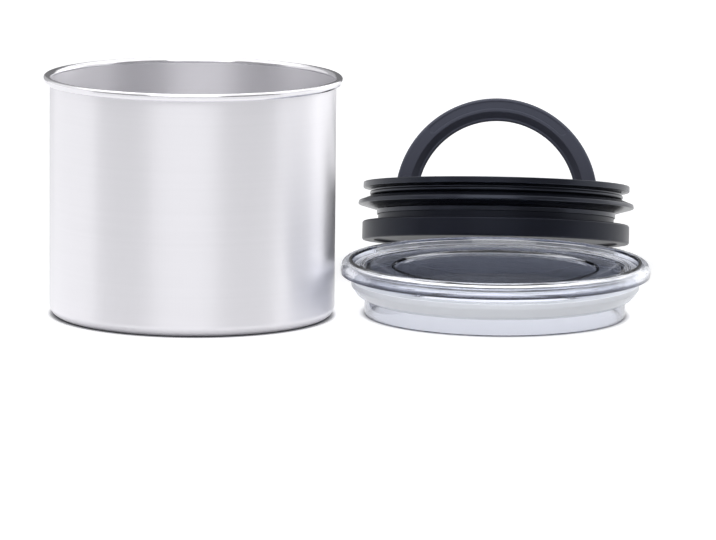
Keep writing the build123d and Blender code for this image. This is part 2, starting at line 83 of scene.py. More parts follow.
@dataclass(frozen=True)
class SectionLine:
    """Rounds the corners of a half section and steadies its straight runs.

    Fields:
        ends: whether the line starts and ends on the axis or closes on itself.
        arc_step: widest angle between two stops on a bend, in degrees.
        guard: distance of the extra stop beside each end of a straight run.
        long_run: length of a run that gets these stops, in guards.
        shortest: length under which a run is left out.
    """

    ends: Ends
    arc_step: float = 9.0
    guard: float = 0.12
    long_run: float = 5.0
    shortest: float = 1e-6

    def stops(self, corners: Iterable[tuple[float, ...]]) -> list[Stop]:
        """Samples the rounded line.

        Args:
            corners: the section's corners in order: out, up and, where it is rounded, the bend.

        Returns:
            The stops along the line, with the first repeated at the end of a ring.
        """
        full = [Corner(*corner) for corner in corners]
        ring = self.ends is Ends.RING
        line: list[Stop] = []
        for index, corner in enumerate(full):
            inner = ring or 0 < index < len(full) - 1
            if inner and corner.bend > 0:
                line += self._bend(full[index - 1], corner, full[(index + 1) % len(full)])
            else:
                line.append(Stop(corner.out, corner.up))
        if ring:
            line.append(line[0])
        return self._guarded(line)

    def _bend(self, before: Corner, corner: Corner, after: Corner) -> list[Stop]:
        """Samples the arc at one corner.

        Args:
            before: the corner before it.
            corner: the rounded corner.
            after: the corner after it.

        Returns:
            The stops along the arc.
        """
        here = Vector(corner[:2])
        back = (Vector(before[:2]) - here).normalized()
        ahead = (Vector(after[:2]) - here).normalized()
        half = back.angle(ahead) / 2
        middle = here + (back + ahead).normalized() * (corner.bend / math.sin(half))
        run = corner.bend / math.tan(half)
        spoke = here + back * run - middle
        swing = spoke.angle_signed(here + ahead * run - middle)
        steps = max(2, math.ceil(abs(math.degrees(swing)) / self.arc_step))
        arc = []
        for step in range(steps + 1):
            turn = -swing * step / steps
            cos, sin = math.cos(turn), math.sin(turn)
            point = middle + Vector((spoke.x * cos - spoke.y * sin, spoke.x * sin + spoke.y * cos))
            arc.append(Stop(point.x, point.y))
        return arc

    def _guarded(self, line: list[Stop]) -> list[Stop]:
        """Adds a stop close to each end of every long straight run.

        Args:
            line: the rounded line.

        Returns:
            The line with its guards.
        """
        full = [line[0]]
        for start, end in zip(line, line[1:]):
            run = Vector(end) - Vector(start)
            if run.length > self.long_run * self.guard:
                inset = run.normalized() * self.guard
                full += [Stop(*(Vector(start) + inset)), Stop(*(Vector(end) - inset))]
            if run.length > self.shortest:
                full.append(end)
        return full


def rod_line(radius: float, low: float, high: float, bend: float = 0.0) -> list[Stop]:
    """Section of a round rod, or of a hole's cutter, with a bend at its low end."""
    return SectionLine(Ends.ON_AXIS).stops([(0, low), (radius, low, bend), (radius, high), (0, high)])


def sheet_outline(corners: list[Corner], start: Stop, end: Stop, sheet: float) -> list[Corner]:
    """Outline of a bent sheet whose thickness lies to the left of a run of corners.

    Args:
        corners: the bends of the sheet's first face.
        start: where that face starts.
        end: where it ends.
        sheet: the thickness.

    Returns:
        The corners of both faces, out along the first and back along the second.
    """
    stops = [Vector(start), *(Vector(corner[:2]) for corner in corners), Vector(end)]
    bends = [0.0, *(corner.bend for corner in corners), 0.0]
    runs = [(after - before).normalized() for before, after in zip(stops, stops[1:])]
    near = [Corner(stop.x, stop.y, bend) for stop, bend in zip(stops, bends)]
    far = []
    for index, stop in enumerate(stops):
        arrive, leave = runs[max(index - 1, 0)], runs[min(index, len(runs) - 1)]
        middle = arrive + leave
        across = Vector((-middle.y, middle.x)) * (sheet / (1 + arrive.dot(leave)))
        inward = math.copysign(sheet, arrive.x * leave.y - arrive.y * leave.x)
        bend = max(bends[index] - inward, 0.0) if bends[index] else 0.0
        far.append(Corner(stop.x + across.x, stop.y + across.y, bend))
    return near + far[::-1]


# Node trees


class NodeDesk:
    """Places and links nodes in one tree."""

    def __init__(self, tree: bpy.types.NodeTree) -> None:
        """Takes the tree to work on."""
        self.tree = tree

    def find(self, kind: str) -> bpy.types.Node:
        """First node of a kind."""
        return next(node for node in self.tree.nodes if node.type == kind)

    def feed(self, node: bpy.types.Node, given: dict[str | int, object]) -> None:
        """Links or sets a node's inputs.

        Args:
            node: the node.
            given: a socket, number or colour for each input's name or place in the row.
        """
        for key, value in given.items():
            target = node.inputs[key]
            if isinstance(value, Socket):
                self.tree.links.new(value, target)
            else:
                plain_color = target.type == "RGBA" and len(value) == 3
                target.default_value = (*value, 1.0) if plain_color else value

    def add(
        self, kind: str, given: dict[str | int, object] | None = None, **settings: object
    ) -> bpy.types.Node:
        """Adds a node.

        Args:
            kind: the node's type name.
            given: what its inputs get.
            settings: attributes to set on it first.

        Returns:
            The new node.
        """
        node = self.tree.nodes.new(kind)
        for name, value in settings.items():
            setattr(node, name, value)
        self.feed(node, given or {})
        return node

    def out(self, kind: str, given: dict[str | int, object] | None = None, **settings: object) -> Socket:
        """Adds a node as add does and gives its first output."""
        return self.add(kind, given, **settings).outputs[0]

    def math(self, operation: str, first: object, second: object = 0.0) -> Socket:
        """Adds a math node on sockets or numbers and gives its value."""
        return self.out("ShaderNodeMath", {0: first, 1: second}, operation=operation)

    def split(self, vector: Socket) -> list[Socket]:
        """Gives a vector's x, y and z."""
        return list(self.add("ShaderNodeSeparateXYZ", {0: vector}).outputs)

    def place(self) -> Socket:
        """Gives a shader's place in the object's own coordinates."""
        return self.add("ShaderNodeTexCoord").outputs["Object"]

    def mix(self, share: Socket, first: object, second: object) -> Socket:
        """Mixes two colours and gives the result."""
        given = {"Factor": share, "A": first, "B": second}
        return self.add("ShaderNodeMix", given, data_type="RGBA").outputs["Result"]

    def ranged(
        self, value: Socket, source: tuple[float, float], target: tuple[float, float], **settings: object
    ) -> Socket:
        """Maps a value from one range to another.

        Args:
            value: the value.
            source: the range that it comes from.
            target: the range that it goes to.
            settings: attributes of the node.

        Returns:
            The mapped value.
        """
        ends = dict(zip(("From Min", "From Max", "To Min", "To Max"), (*source, *target)))
        return self.out("ShaderNodeMapRange", {"Value": value, **ends}, **settings)


class FormTree:
    """Geometry tree with named sizes that makes a form and gives it its finish."""

    name: str
    sizes: dict[str, str]

    def __init__(self) -> None:
        """Opens the tree, keeps its inputs' identifiers and wires it."""
        self.tree = bpy.data.node_groups.new(self.name, "GeometryNodeTree")
        face = self.tree.interface
        self.keys = {
            label: face.new_socket(label, in_out="INPUT", socket_type=f"NodeSocket{kind}").identifier
            for label, kind in {"Seed": "Geometry", **self.sizes, "Finish": "Material"}.items()
        }
        face.new_socket("Form", in_out="OUTPUT", socket_type="NodeSocketGeometry")
        desk = NodeDesk(self.tree)
        given = {socket.name: socket for socket in desk.add("NodeGroupInput").outputs}
        whole = desk.out("GeometryNodeRealizeInstances", {0: self.form(desk, given)})
        dressed = desk.out("GeometryNodeSetMaterial", {"Geometry": whole, "Material": given["Finish"]})
        desk.add("NodeGroupOutput", {"Form": dressed})

    def form(self, desk: NodeDesk, given: dict[str, Socket]) -> Socket:
        """Makes the form; each kind of tree has its own.

        Args:
            desk: the desk of the tree.
            given: the tree's inputs by name.

        Returns:
            The form.
        """
        raise NotImplementedError


class TurnedTree(FormTree):
    """Turns a section line about the z axis."""

    name = "turned_form"
    sizes = {"Steps": "Int", "Stops": "Int", "Sweep": "Float", "Crease": "Float"}
    weld = 2e-6

    def form(self, desk: NodeDesk, given: dict[str, Socket]) -> Socket:
        """Lays a grid round the axis, one row for each stop, and marks its creases.

        Args:
            desk: the desk of the tree.
            given: the tree's inputs by name.

        Returns:
            The turned form.
        """
        columns = desk.math("ADD", given["Steps"], 1.0)
        size = {"Size X": 1.0, "Size Y": 1.0, "Vertices X": columns, "Vertices Y": given["Stops"]}
        grid = desk.out("GeometryNodeMeshGrid", size)
        place = desk.out("GeometryNodeInputPosition")
        x, y, _ = desk.split(place)
        angle = desk.math("MULTIPLY", desk.math("ADD", x, 0.5), given["Sweep"])
        last = desk.math("SUBTRACT", given["Stops"], 1.0)
        row = desk.math("ROUND", desk.math("MULTIPLY", desk.math("ADD", y, 0.5), last))
        sample = {"Geometry": given["Seed"], "Value": place, "Index": row}
        stop = desk.out("GeometryNodeSampleIndex", sample, data_type="FLOAT_VECTOR", domain="POINT")
        out, _, up = desk.split(stop)
        turned = {
            "X": desk.math("MULTIPLY", out, desk.math("COSINE", angle)),
            "Y": desk.math("MULTIPLY", out, desk.math("SINE", angle)),
            "Z": up,
        }
        spot = desk.out("ShaderNodeCombineXYZ", turned)
        moved = desk.out("GeometryNodeSetPosition", {"Geometry": grid, "Position": spot})
        merged = desk.out("GeometryNodeMergeByDistance", {"Geometry": moved, "Distance": self.weld})
        edge = desk.add("GeometryNodeInputMeshEdgeAngle").outputs["Unsigned Angle"]
        compare = {"data_type": "FLOAT", "operation": "GREATER_THAN"}
        sharp = desk.out("FunctionNodeCompare", {0: edge, 1: given["Crease"]}, **compare)
        shade = {"Geometry": merged, "Selection": sharp, "Shade Smooth": False}
        return desk.out("GeometryNodeSetShadeSmooth", shade, domain="EDGE")


class CoilTree(FormTree):
    """Winds a round wire into an open coil."""

    name = "wound_coil"
    sizes = {"Turns": "Float", "Radius": "Float", "Rise": "Float", "Wire": "Float"}
    turn_steps = 48
    wire_steps = 12

    def form(self, desk: NodeDesk, given: dict[str, Socket]) -> Socket:
        """Sweeps a small circle along a spiral.

        Args:
            desk: the desk of the tree.
            given: the tree's inputs by name.

        Returns:
            The wound form.
        """
        winding = {
            "Resolution": self.turn_steps,
            "Rotations": given["Turns"],
            "Start Radius": given["Radius"],
            "End Radius": given["Radius"],
            "Height": given["Rise"],
        }
        spiral = desk.out("GeometryNodeCurveSpiral", winding)
        wire = {"Resolution": self.wire_steps, "Radius": given["Wire"]}
        ring = desk.out("GeometryNodeCurvePrimitiveCircle", wire, mode="RADIUS")
        tube = {"Curve": spiral, "Profile Curve": ring, "Fill Caps": True}
        return desk.out("GeometryNodeCurveToMesh", tube)


# Finishes


def open_group(
    name: str, inputs: Iterable[str], outputs: Iterable[str]
) -> tuple[NodeDesk, bpy.types.NodeOutputs, bpy.types.Node]:
    """Opens a shader group whose sockets are plain values.

    Args:
        name: the group's name.
        inputs: the names of its inputs.
        outputs: the names of its outputs.

    Returns:
        The desk on its tree, what the group is given and the node that takes its results.
    """
    tree = bpy.data.node_groups.new(name, "ShaderNodeTree")
    for side, labels in (("INPUT", inputs), ("OUTPUT", outputs)):
        for label in labels:
            tree.interface.new_socket(label, in_out=side, socket_type="NodeSocketFloat")
    desk = NodeDesk(tree)
    return desk, desk.add("NodeGroupInput").outputs, desk.add("NodeGroupOutput")


FINE_DETAIL, SLOW_DETAIL = 2.0, 3.0
STREAK_SHARE = 0.22


def grain_group() -> bpy.types.NodeTree:
    """Shared grain of moulded surfaces.

    Returns:
        A group that puts out a fine height and a slow tone that change over the surface.
    """
    desk, given, result = open_group("moulded_grain", ("Fineness", "Cloudiness"), ("Height", "Tone"))
    place = desk.place()
    for scale, target, detail in (("Fineness", "Height", FINE_DETAIL), ("Cloudiness", "Tone", SLOW_DETAIL)):
        noise = {"Vector": place, "Scale": given[scale], "Detail": detail}
        desk.feed(result, {target: desk.out("ShaderNodeTexNoise", noise)})
    return desk.tree


def brushing_group() -> bpy.types.NodeTree:
    """Shared brushing that runs level round an upright axis.

    Returns:
        A group that puts out the height of fine level lines and a slower banding.
    """
    desk, given, result = open_group("level_brushing", ("Lines", "Length"), ("Height", "Streaks"))
    place, length = desk.place(), given["Length"]
    for share, target, detail in ((1.0, "Height", FINE_DETAIL), (STREAK_SHARE, "Streaks", SLOW_DETAIL)):
        lines = desk.math("MULTIPLY", given["Lines"], share)
        stretch = desk.out("ShaderNodeCombineXYZ", {"X": length, "Y": length, "Z": lines})
        scaled = desk.out("ShaderNodeVectorMath", {0: place, 1: stretch}, operation="MULTIPLY")
        noise = {"Vector": scaled, "Scale": 1.0, "Detail": detail}
        desk.feed(result, {target: desk.out("ShaderNodeTexNoise", noise)})
    return desk.tree


def open_material(
    name: str, given: dict[str, object]
) -> tuple[bpy.types.Material, NodeDesk, bpy.types.Node]:
    """Starts a material.

    Args:
        name: its name.
        given: the plain numbers and colours of its main shader.

    Returns:
        The material, a desk on its tree and its main shader.
    """
    material = bpy.data.materials.new(name)
    material.use_nodes = True
    desk = NodeDesk(material.node_tree)
    shader = desk.find("BSDF_PRINCIPLED")
    desk.feed(shader, given)
    return material, desk, shader


@dataclass(frozen=True)
class Finish:
    """A surface finish: its colour, its roughness and how far noise changes them.

    Fields:
        name: the material's name.
        color: the base colour.
        roughness: the middle roughness.
        spread: share by which noise darkens and lightens the colour.
        rough_spread: share by which noise lowers and raises the roughness.
        noise_range: the values between which the noise counts.
    """

    name: str
    color: Color
    roughness: float
    spread: float = 0.12
    rough_spread: float = 0.1
    noise_range: tuple[float, float] = (0.3, 0.7)

    def _start(
        self, group: bpy.types.NodeTree, sizes: dict[str, float], given: dict[str, object]
    ) -> tuple[bpy.types.Material, NodeDesk, bpy.types.Node, bpy.types.Node]:
        """Starts the material and places the shared group.

        Args:
            group: the shared group of the surface's noise.
            sizes: the group's own values.
            given: the shader's plain numbers besides colour and roughness.

        Returns:
            The material, its desk, its main shader and the group's node.
        """
        plain = {"Base Color": self.color, "Roughness": self.roughness, **given}
        material, desk, shader = open_material(self.name, plain)
        return material, desk, shader, desk.add("ShaderNodeGroup", sizes, node_tree=group)

    def _toned(self, desk: NodeDesk, noise: Socket) -> Socket:
        """Gives the colour as noise changes it."""
        darker = [c * (1 - self.spread) for c in self.color]
        return desk.mix(noise, darker, [min(c * (1 + self.spread), 1.0) for c in self.color])

    def _rough(self, desk: NodeDesk, noise: Socket) -> Socket:
        """Gives the roughness as noise changes it."""
        low, high = self.roughness * (1 - self.rough_spread), self.roughness * (1 + self.rough_spread)
        return desk.ranged(noise, self.noise_range, (low, high))

    def _relief(self, desk: NodeDesk, height: Socket, depth: float) -> Socket:
        """Gives the normal of a fine relief whose depth is in metres."""
        return desk.out("ShaderNodeBump", {"Strength": 1.0, "Distance": depth, "Height": height})


@dataclass(frozen=True)
class MouldedFinish(Finish):
    """Moulded plastic or rubber with a fine grain."""

    grain_depth: float = 4e-6
    fineness: float = 2600.0
    cloudiness: float = 35.0
    specular: float = 0.5
    gloss_tint: Color = (1.0, 1.0, 1.0)

    def build(self, grain: bpy.types.NodeTree) -> bpy.types.Material:
        """Makes the material.

        Args:
            grain: the shared grain group.

        Returns:
            The finished material.
        """
        sizes = {"Fineness": self.fineness, "Cloudiness": self.cloudiness}
        gloss = {"Specular IOR Level": self.specular, "Specular Tint": self.gloss_tint}
        material, desk, shader, noise = self._start(grain, sizes, gloss)
        tone = noise.outputs["Tone"]
        normal = self._relief(desk, noise.outputs["Height"], self.grain_depth)
        varied = {"Base Color": self._toned(desk, tone), "Roughness": self._rough(desk, tone)}
        desk.feed(shader, {**varied, "Normal": normal})
        return material


@dataclass(frozen=True)
class BrushedFinish(Finish):
    """Brushed steel with a smoother rolled rim and a rougher inside.

    Fields:
        rim_low: height in metres from which the steel counts as the rim.
        rim_inner: radius inside which that height rises.
        rim_slant: how fast it rises there.
        wall_skin: how far inside that radius the inner wall starts.
        polish_share: the rim's share of the roughness.
        inside_share: the inner wall's share of it.
    """

    spread: float = 0.02
    rough_spread: float = 0.03
    anisotropy: float = 0.82
    quarter_turn: float = 0.25
    lines: float = 3600.0
    length: float = 9.0
    relief: float = 6e-7
    rim_low: float = 0.0979
    rim_inner: float = 0.0604
    rim_slant: float = 2.6
    wall_skin: float = 0.0003
    polish_share: float = 0.5
    inside_share: float = 1.4

    def build(self, brushing: bpy.types.NodeTree) -> bpy.types.Material:
        """Makes the material.

        Args:
            brushing: the shared brushing group.

        Returns:
            The finished material.
        """
        steel = {
            "Metallic": 1.0,
            "Anisotropic": self.anisotropy,
            "Anisotropic Rotation": self.quarter_turn,
        }
        sizes = {"Lines": self.lines, "Length": self.length}
        material, desk, shader, noise = self._start(brushing, sizes, steel)
        streaks = noise.outputs["Streaks"]
        x, y, z = desk.split(desk.place())
        square = desk.math("ADD", desk.math("POWER", x, 2.0), desk.math("POWER", y, 2.0))
        past = desk.math("SUBTRACT", desk.math("SQRT", square), self.rim_inner)
        lowered = desk.math("MULTIPLY", desk.math("MINIMUM", past, 0.0), self.rim_slant)
        rim = desk.math("GREATER_THAN", desk.math("ADD", z, lowered), self.rim_low)
        wall = desk.math("LESS_THAN", past, -self.wall_skin)
        inside = desk.math("MULTIPLY", wall, desk.math("SUBTRACT", 1.0, rim))
        share = desk.math("SUBTRACT", 1.0, desk.math("MULTIPLY", rim, 1.0 - self.polish_share))
        share = desk.math("ADD", share, desk.math("MULTIPLY", inside, self.inside_share - 1.0))
        surface = {
            "Tangent": desk.out("ShaderNodeTangent", direction_type="RADIAL", axis="Z"),
            "Base Color": self._toned(desk, streaks),
            "Roughness": desk.math("MULTIPLY", self._rough(desk, streaks), share),
            "Normal": self._relief(desk, noise.outputs["Height"], self.relief),
        }
        desk.feed(shader, surface)
        return material


@dataclass(frozen=True)
class ClearFinish(Finish):
    """Clear or milky plastic that lets light through to the floor.

    Fields:
        shade: how much light passes each face towards the floor.
        edge: painted edge shade, its colour where it is seen on edge, standing in for the dark surroundings
            seen through the plastic there and partly for its tint along the longer path.
        edge_from: how far a face turns away before that painted edge shade starts.
        painted_shade_color: painted shade, its colour where the piece's own attribute marks shade.
    """

    spread: float = 0.01
    fineness: float = 900.0
    cloudiness: float = 40.0
    ior: float = 1.49
    transmission: float = 1.0
    ripple: float = 1e-6
    shade: float = 0.97
    edge: Color = (0.4, 0.43, 0.52)
    edge_from: float = 0.66
    painted_shade_color: Color = (0.01, 0.018, 0.06)

    def build(self, grain: bpy.types.NodeTree) -> bpy.types.Material:
        """Makes the material.

        Args:
            grain: the shared grain group.

        Returns:
            The finished material.
        """
        sizes = {"Fineness": self.fineness, "Cloudiness": self.cloudiness}
        glass = {"IOR": self.ior, "Transmission Weight": self.transmission}
        material, desk, shader, noise = self._start(grain, sizes, glass)
        # Painted edge shade: the colour turns towards the edge colour where a face is seen on edge.
        facing = desk.add("ShaderNodeLayerWeight").outputs["Facing"]
        painted_edge_share = desk.ranged(facing, (self.edge_from, 1.0), (0.0, 1.0), interpolation_type="SMOOTHSTEP")
        # Painted shade: the piece's own attribute darkens the colour towards the painted shade colour.
        depth = desk.add("ShaderNodeAttribute", attribute_name=PAINTED_SHADE_SHARE).outputs["Fac"]
        body = desk.mix(depth, self._toned(desk, noise.outputs["Tone"]), self.painted_shade_color)
        normal = self._relief(desk, noise.outputs["Height"], self.ripple)
        desk.feed(shader, {"Base Color": desk.mix(painted_edge_share, body, self.edge), "Normal": normal})
        through = desk.out("ShaderNodeBsdfTransparent", {"Color": (self.shade,) * 3})
        shadow = desk.add("ShaderNodeLightPath").outputs["Is Shadow Ray"]
        mixed = desk.out("ShaderNodeMixShader", {"Fac": shadow, 1: shader.outputs[0], 2: through})
        desk.feed(desk.find("OUTPUT_MATERIAL"), {"Surface": mixed})
        return material


@dataclass(frozen=True)
class WireFinish(Finish):
    """Bright drawn steel of the small hardware."""

    spread: float = 0.08
    rough_spread: float = 0.2
    fineness: float = 3000.0
    cloudiness: float = 400.0

    def build(self, grain: bpy.types.NodeTree) -> bpy.types.Material:
        """Makes the material.

        Args:
            grain: the shared grain group.

        Returns:
            The finished material.
        """
        sizes = {"Fineness": self.fineness, "Cloudiness": self.cloudiness}
        material, desk, shader, noise = self._start(grain, sizes, {"Metallic": 1.0})
        tone = noise.outputs["Tone"]
        desk.feed(shader, {"Base Color": self._toned(desk, tone), "Roughness": self._rough(desk, tone)})
        return material


class FinishBook:
    """All finishes of the object, each built once."""

    def __init__(self) -> None:
        """Builds the shared groups and the materials."""
        grain, brushing = grain_group(), brushing_group()
        cool: Color = (0.72, 0.79, 1.0)
        milky = ClearFinish(
            "translucent_silicone",
            (0.95, 0.965, 1.0),
            0.22,
            ior=1.41,
            transmission=0.25,
            shade=0.94,
            # painted edge shade, light on the milky silicone
            edge=(0.85, 0.88, 0.94),
        )
        black = MouldedFinish(
            "black_plastic", (0.0095, 0.0104, 0.0165), 0.34, specular=0.25, gloss_tint=cool
        )
        seal = MouldedFinish(
            "black_silicone", (0.006, 0.0066, 0.0105), 0.25, spread=0.08, fineness=1800.0, gloss_tint=cool
        )
        handle = MouldedFinish(
            "handle_plastic",
            (0.094, 0.098, 0.13),
            0.42,
            grain_depth=7e-6,
            fineness=2200.0,
            specular=0.35,
            gloss_tint=cool,
        )
        self.steel = BrushedFinish("brushed_steel", (0.81, 0.8, 0.833), 0.38).build(brushing)
        self.clear = ClearFinish("clear_plastic", (0.92, 0.937, 0.99), 0.02).build(grain)
        self.milky, self.black = milky.build(grain), black.build(grain)
        self.seal, self.handle = seal.build(grain), handle.build(grain)
        self.grey = MouldedFinish("grey_silicone", (0.28, 0.285, 0.3), 0.5).build(grain)
        self.white = MouldedFinish("white_plastic", (0.74, 0.74, 0.72), 0.35, spread=0.03).build(grain)
        self.wire = WireFinish("spring_steel", (0.62, 0.62, 0.64), 0.25).build(grain)


# Making pieces


def place_of(origin: Vector, across: Vector, up: Vector) -> Matrix:
    """Placement whose origin is in metres, whose x runs across and whose z runs up."""
    turn = Matrix((across, up.cross(across), up)).transposed().to_4x4()
    return Matrix.Translation(origin) @ turn


def show(name: str, data: bpy.types.ID) -> bpy.types.Object:
    """Puts something in the scene as an object.

    Args:
        name: the object's name.
        data: its mesh, lamp or camera.

    Returns:
        The object.
    """
    thing = bpy.data.objects.new(name, data)
    bpy.context.scene.collection.objects.link(thing)
    return thing


def make_plain(piece: bpy.types.Object) -> None:
    """Applies modifiers.

    Args:
        piece: the object that has them.
    """
    graph = bpy.context.evaluated_depsgraph_get()
    mesh = bpy.data.meshes.new_from_object(piece.evaluated_get(graph), depsgraph=graph)
    piece.modifiers.clear()
    piece.data = mesh


def face_outward(mesh: bpy.types.Mesh) -> None:
    """Closes open ends and turns a closed mesh the right way out.

    Args:
        mesh: the mesh.
    """
    work = bmesh.new()
    work.from_mesh(mesh)
    open_edges = [edge for edge in work.edges if edge.is_boundary]
    if open_edges:
        bmesh.ops.holes_fill(work, edges=open_edges, sides=0)
    if work.calc_volume(signed=True) < 0:
        bmesh.ops.reverse_faces(work, faces=work.faces[:])
    work.to_mesh(mesh)
    work.free()


@dataclass(frozen=True)
class SpringSize:
    """Sizes of a coil spring, in millimetres, with its ends' heights in the lid."""

    turns: float
    radius: float
    low: float
    high: float
    wire: float


class Workshop:
    """Makes pieces out of the shared geometry trees."""

    block_crease = math.radians(40)
    bevel_steps = 3

    def __init__(self) -> None:
        """Builds the trees."""
        self.turned_tree = TurnedTree()
        self.coil_tree = CoilTree()

    def _formed(
        self, seed: bpy.types.Mesh, name: str, tree: FormTree, values: dict[str, object], place: Matrix
    ) -> bpy.types.Object:
        """Runs a tree on a seed mesh.

        Args:
            seed: the mesh that the tree starts from.
            name: the piece's name.
            tree: the geometry tree.
            values: what its inputs get, by name.
            place: where the form stands.

        Returns:
            The piece, closed, facing outward and with its place in its mesh.
        """
        piece = show(name, seed)
        modifier = piece.modifiers.new("form", "NODES")
        modifier.node_group = tree.tree
        for label, value in values.items():
            modifier[tree.keys[label]] = value
        make_plain(piece)
        face_outward(piece.data)
        piece.data.transform(place)
        return piece

    def turned(
        self,
        name: str,
        line: list[Stop],
        finish: bpy.types.Material,
        place: Matrix,
        steps: int,
        sweep: float = 2 * math.pi,
        crease: float = 32.0,
    ) -> bpy.types.Object:
        """Turns a section line into a piece.

        Args:
            name: the piece's name.
            line: the section line in millimetres.
            finish: its material.
            place: where the turning axis stands.
            steps: number of steps round the axis.
            sweep: how far the section is turned, in radians.
            crease: edge angle in degrees past which an edge is shaded sharp.

        Returns:
            The piece, with its place in its mesh.
        """
        section = bpy.data.meshes.new(name + "_section")
        section.from_pydata([(stop.out * MM, 0.0, stop.up * MM) for stop in line], [], [])
        sizes = {"Steps": steps, "Stops": len(line), "Sweep": sweep, "Crease": math.radians(crease)}
        return self._formed(section, name, self.turned_tree, {**sizes, "Finish": finish}, place)

    def coil(
        self, name: str, size: SpringSize, finish: bpy.types.Material, place: Matrix
    ) -> bpy.types.Object:
        """Winds a coil.

        Args:
            name: the piece's name.
            size: the coil's sizes.
            finish: its material.
            place: where its axis stands, at its lower end.

        Returns:
            The piece, with its place in its mesh.
        """
        values = {
            "Turns": size.turns,
            "Radius": size.radius * MM,
            "Rise": (size.high - size.low) * MM,
            "Wire": size.wire * MM,
            "Finish": finish,
        }
        piece = self._formed(bpy.data.meshes.new(name + "_seed"), name, self.coil_tree, values, place)
        piece.data.shade_smooth()
        return piece

    def block(
        self,
        outline: list[Stop],
        depth: float,
        finish: bpy.types.Material,
        place: Matrix,
        bevel: float,
    ) -> bpy.types.Object:
        """Makes a block with a drawn outline and softened edges.

        Args:
            outline: the outline in the placement's x and y, in millimetres.
            depth: how far it runs along z.
            finish: its material.
            place: where the outline lies.
            bevel: size of the edge softening in millimetres.

        Returns:
            The block, with its place in its mesh.
        """
        mesh = bpy.data.meshes.new("block")
        work = bmesh.new()
        ring = [work.verts.new((stop.out * MM, stop.up * MM, 0.0)) for stop in outline]
        grown = bmesh.ops.extrude_face_region(work, geom=[work.faces.new(ring)])
        moved = [item for item in grown["geom"] if isinstance(item, bmesh.types.BMVert)]
        bmesh.ops.translate(work, verts=moved, vec=(0.0, 0.0, depth * MM))
        bmesh.ops.recalc_face_normals(work, faces=work.faces[:])
        sharp = [edge for edge in work.edges if edge.calc_face_angle(0.0) > self.block_crease]
        soft = {"segments": self.bevel_steps, "profile": 0.5, "affect": "EDGES"}
        bmesh.ops.bevel(work, geom=sharp, offset=bevel * MM, **soft)
        work.to_mesh(mesh)
        work.free()
        mesh.materials.append(finish)
        mesh.shade_smooth()
        mesh.set_sharp_from_angle(angle=self.block_crease)
        mesh.transform(place)
        return show("block", mesh)

    def cut(self, piece: bpy.types.Object, cutter: bpy.types.Object) -> None:
        """Cuts one closed piece out of another and removes the cutter.

        Args:
            piece: the piece that is cut.
            cutter: the piece that cuts it.
        """
        modifier = piece.modifiers.new("cut", "BOOLEAN")
        modifier.operation = "DIFFERENCE"
        modifier.solver = "EXACT"
        modifier.object = cutter
        make_plain(piece)
        bpy.data.objects.remove(cutter)

    def joined(self, name: str, pieces: list[bpy.types.Object]) -> bpy.types.Object:
        """Joins pieces of one finish.

        Args:
            name: the result's name.
            pieces: the pieces to join; the first one stays.

        Returns:
            The joined object.
        """
        first = pieces[0]
        with bpy.context.temp_override(active_object=first, selected_editable_objects=pieces):
            bpy.ops.object.join()
        first.name = first.data.name = name
        return first


def dress(nodes: Iterable[str], finish: bpy.types.Material) -> None:
    """Gives CAD nodes that stay in view their finish.

    Args:
        nodes: the nodes' names.
        finish: the material.
    """
    for node in nodes:
        for slot in frame["nodes"][node].material_slots:
            slot.material = finish
        log.info("dressed %s in %s", node, finish.name)


def settle(piece: bpy.types.Object, body: str, slot: str, *nodes: str) -> None:
    """Rides a piece on its body, in the place of its CAD nodes.

    Args:
        piece: the piece.
        body: the body that it rides on.
        slot: name of a material slot; not used.
        nodes: the CAD nodes that it stands for.
    """
    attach(piece, body)
    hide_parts(*nodes)
    log.info("made %s on %s", piece.name, body)


# Sub-assemblies


@dataclass(frozen=True)
class Canister:
    """The open cup with its rolled rim."""

    radius: float = 60.325
    height: float = 101.6
    sheet: float = 0.5
    corner: float = 4.5
    foot_width: float = 6.0
    bead_width: float = 9.0
    bead_slope: float = 2.5
    bead_rise: float = 1.2
    bead_bend: float = 1.0
    rim_reach: float = 2.675
    rim_depth: float = 3.2
    mouth_bend: float = 1.4
    rim_bend: float = 0.75
    rim_tail_gap: float = 0.55
    steps: int = 256

    def build(self, shop: Workshop, book: FinishBook) -> None:
        """Turns the cup and dresses it in brushed steel.

        Args:
            shop: the workshop.
            book: the finishes.
        """
        outer = self.radius - self.corner - self.foot_width
        inner = outer - self.bead_width
        inside = self.radius + self.rim_reach - self.sheet
        ceiling = self.height - self.sheet
        floor = self.height - self.rim_depth + self.sheet
        bends = [
            Corner(inner, 0, self.bead_bend),
            Corner(inner + self.bead_slope, self.bead_rise, self.bead_bend),
            Corner(outer - self.bead_slope, self.bead_rise, self.bead_bend),
            Corner(outer, 0, self.bead_bend),
            Corner(self.radius, 0, self.corner),
            Corner(self.radius, ceiling, self.mouth_bend),
            Corner(inside, ceiling, self.rim_bend),
            Corner(inside, floor, self.rim_bend),
        ]
        tail = Stop(self.radius + self.rim_tail_gap, floor)
        line = SectionLine(Ends.ON_AXIS).stops(sheet_outline(bends, Stop(0, 0), tail, self.sheet))
        cup = shop.turned("canister_cup", line, book.steel, Matrix.Identity(4), self.steps)
        settle(cup, "canister", "steel", "canister_body")


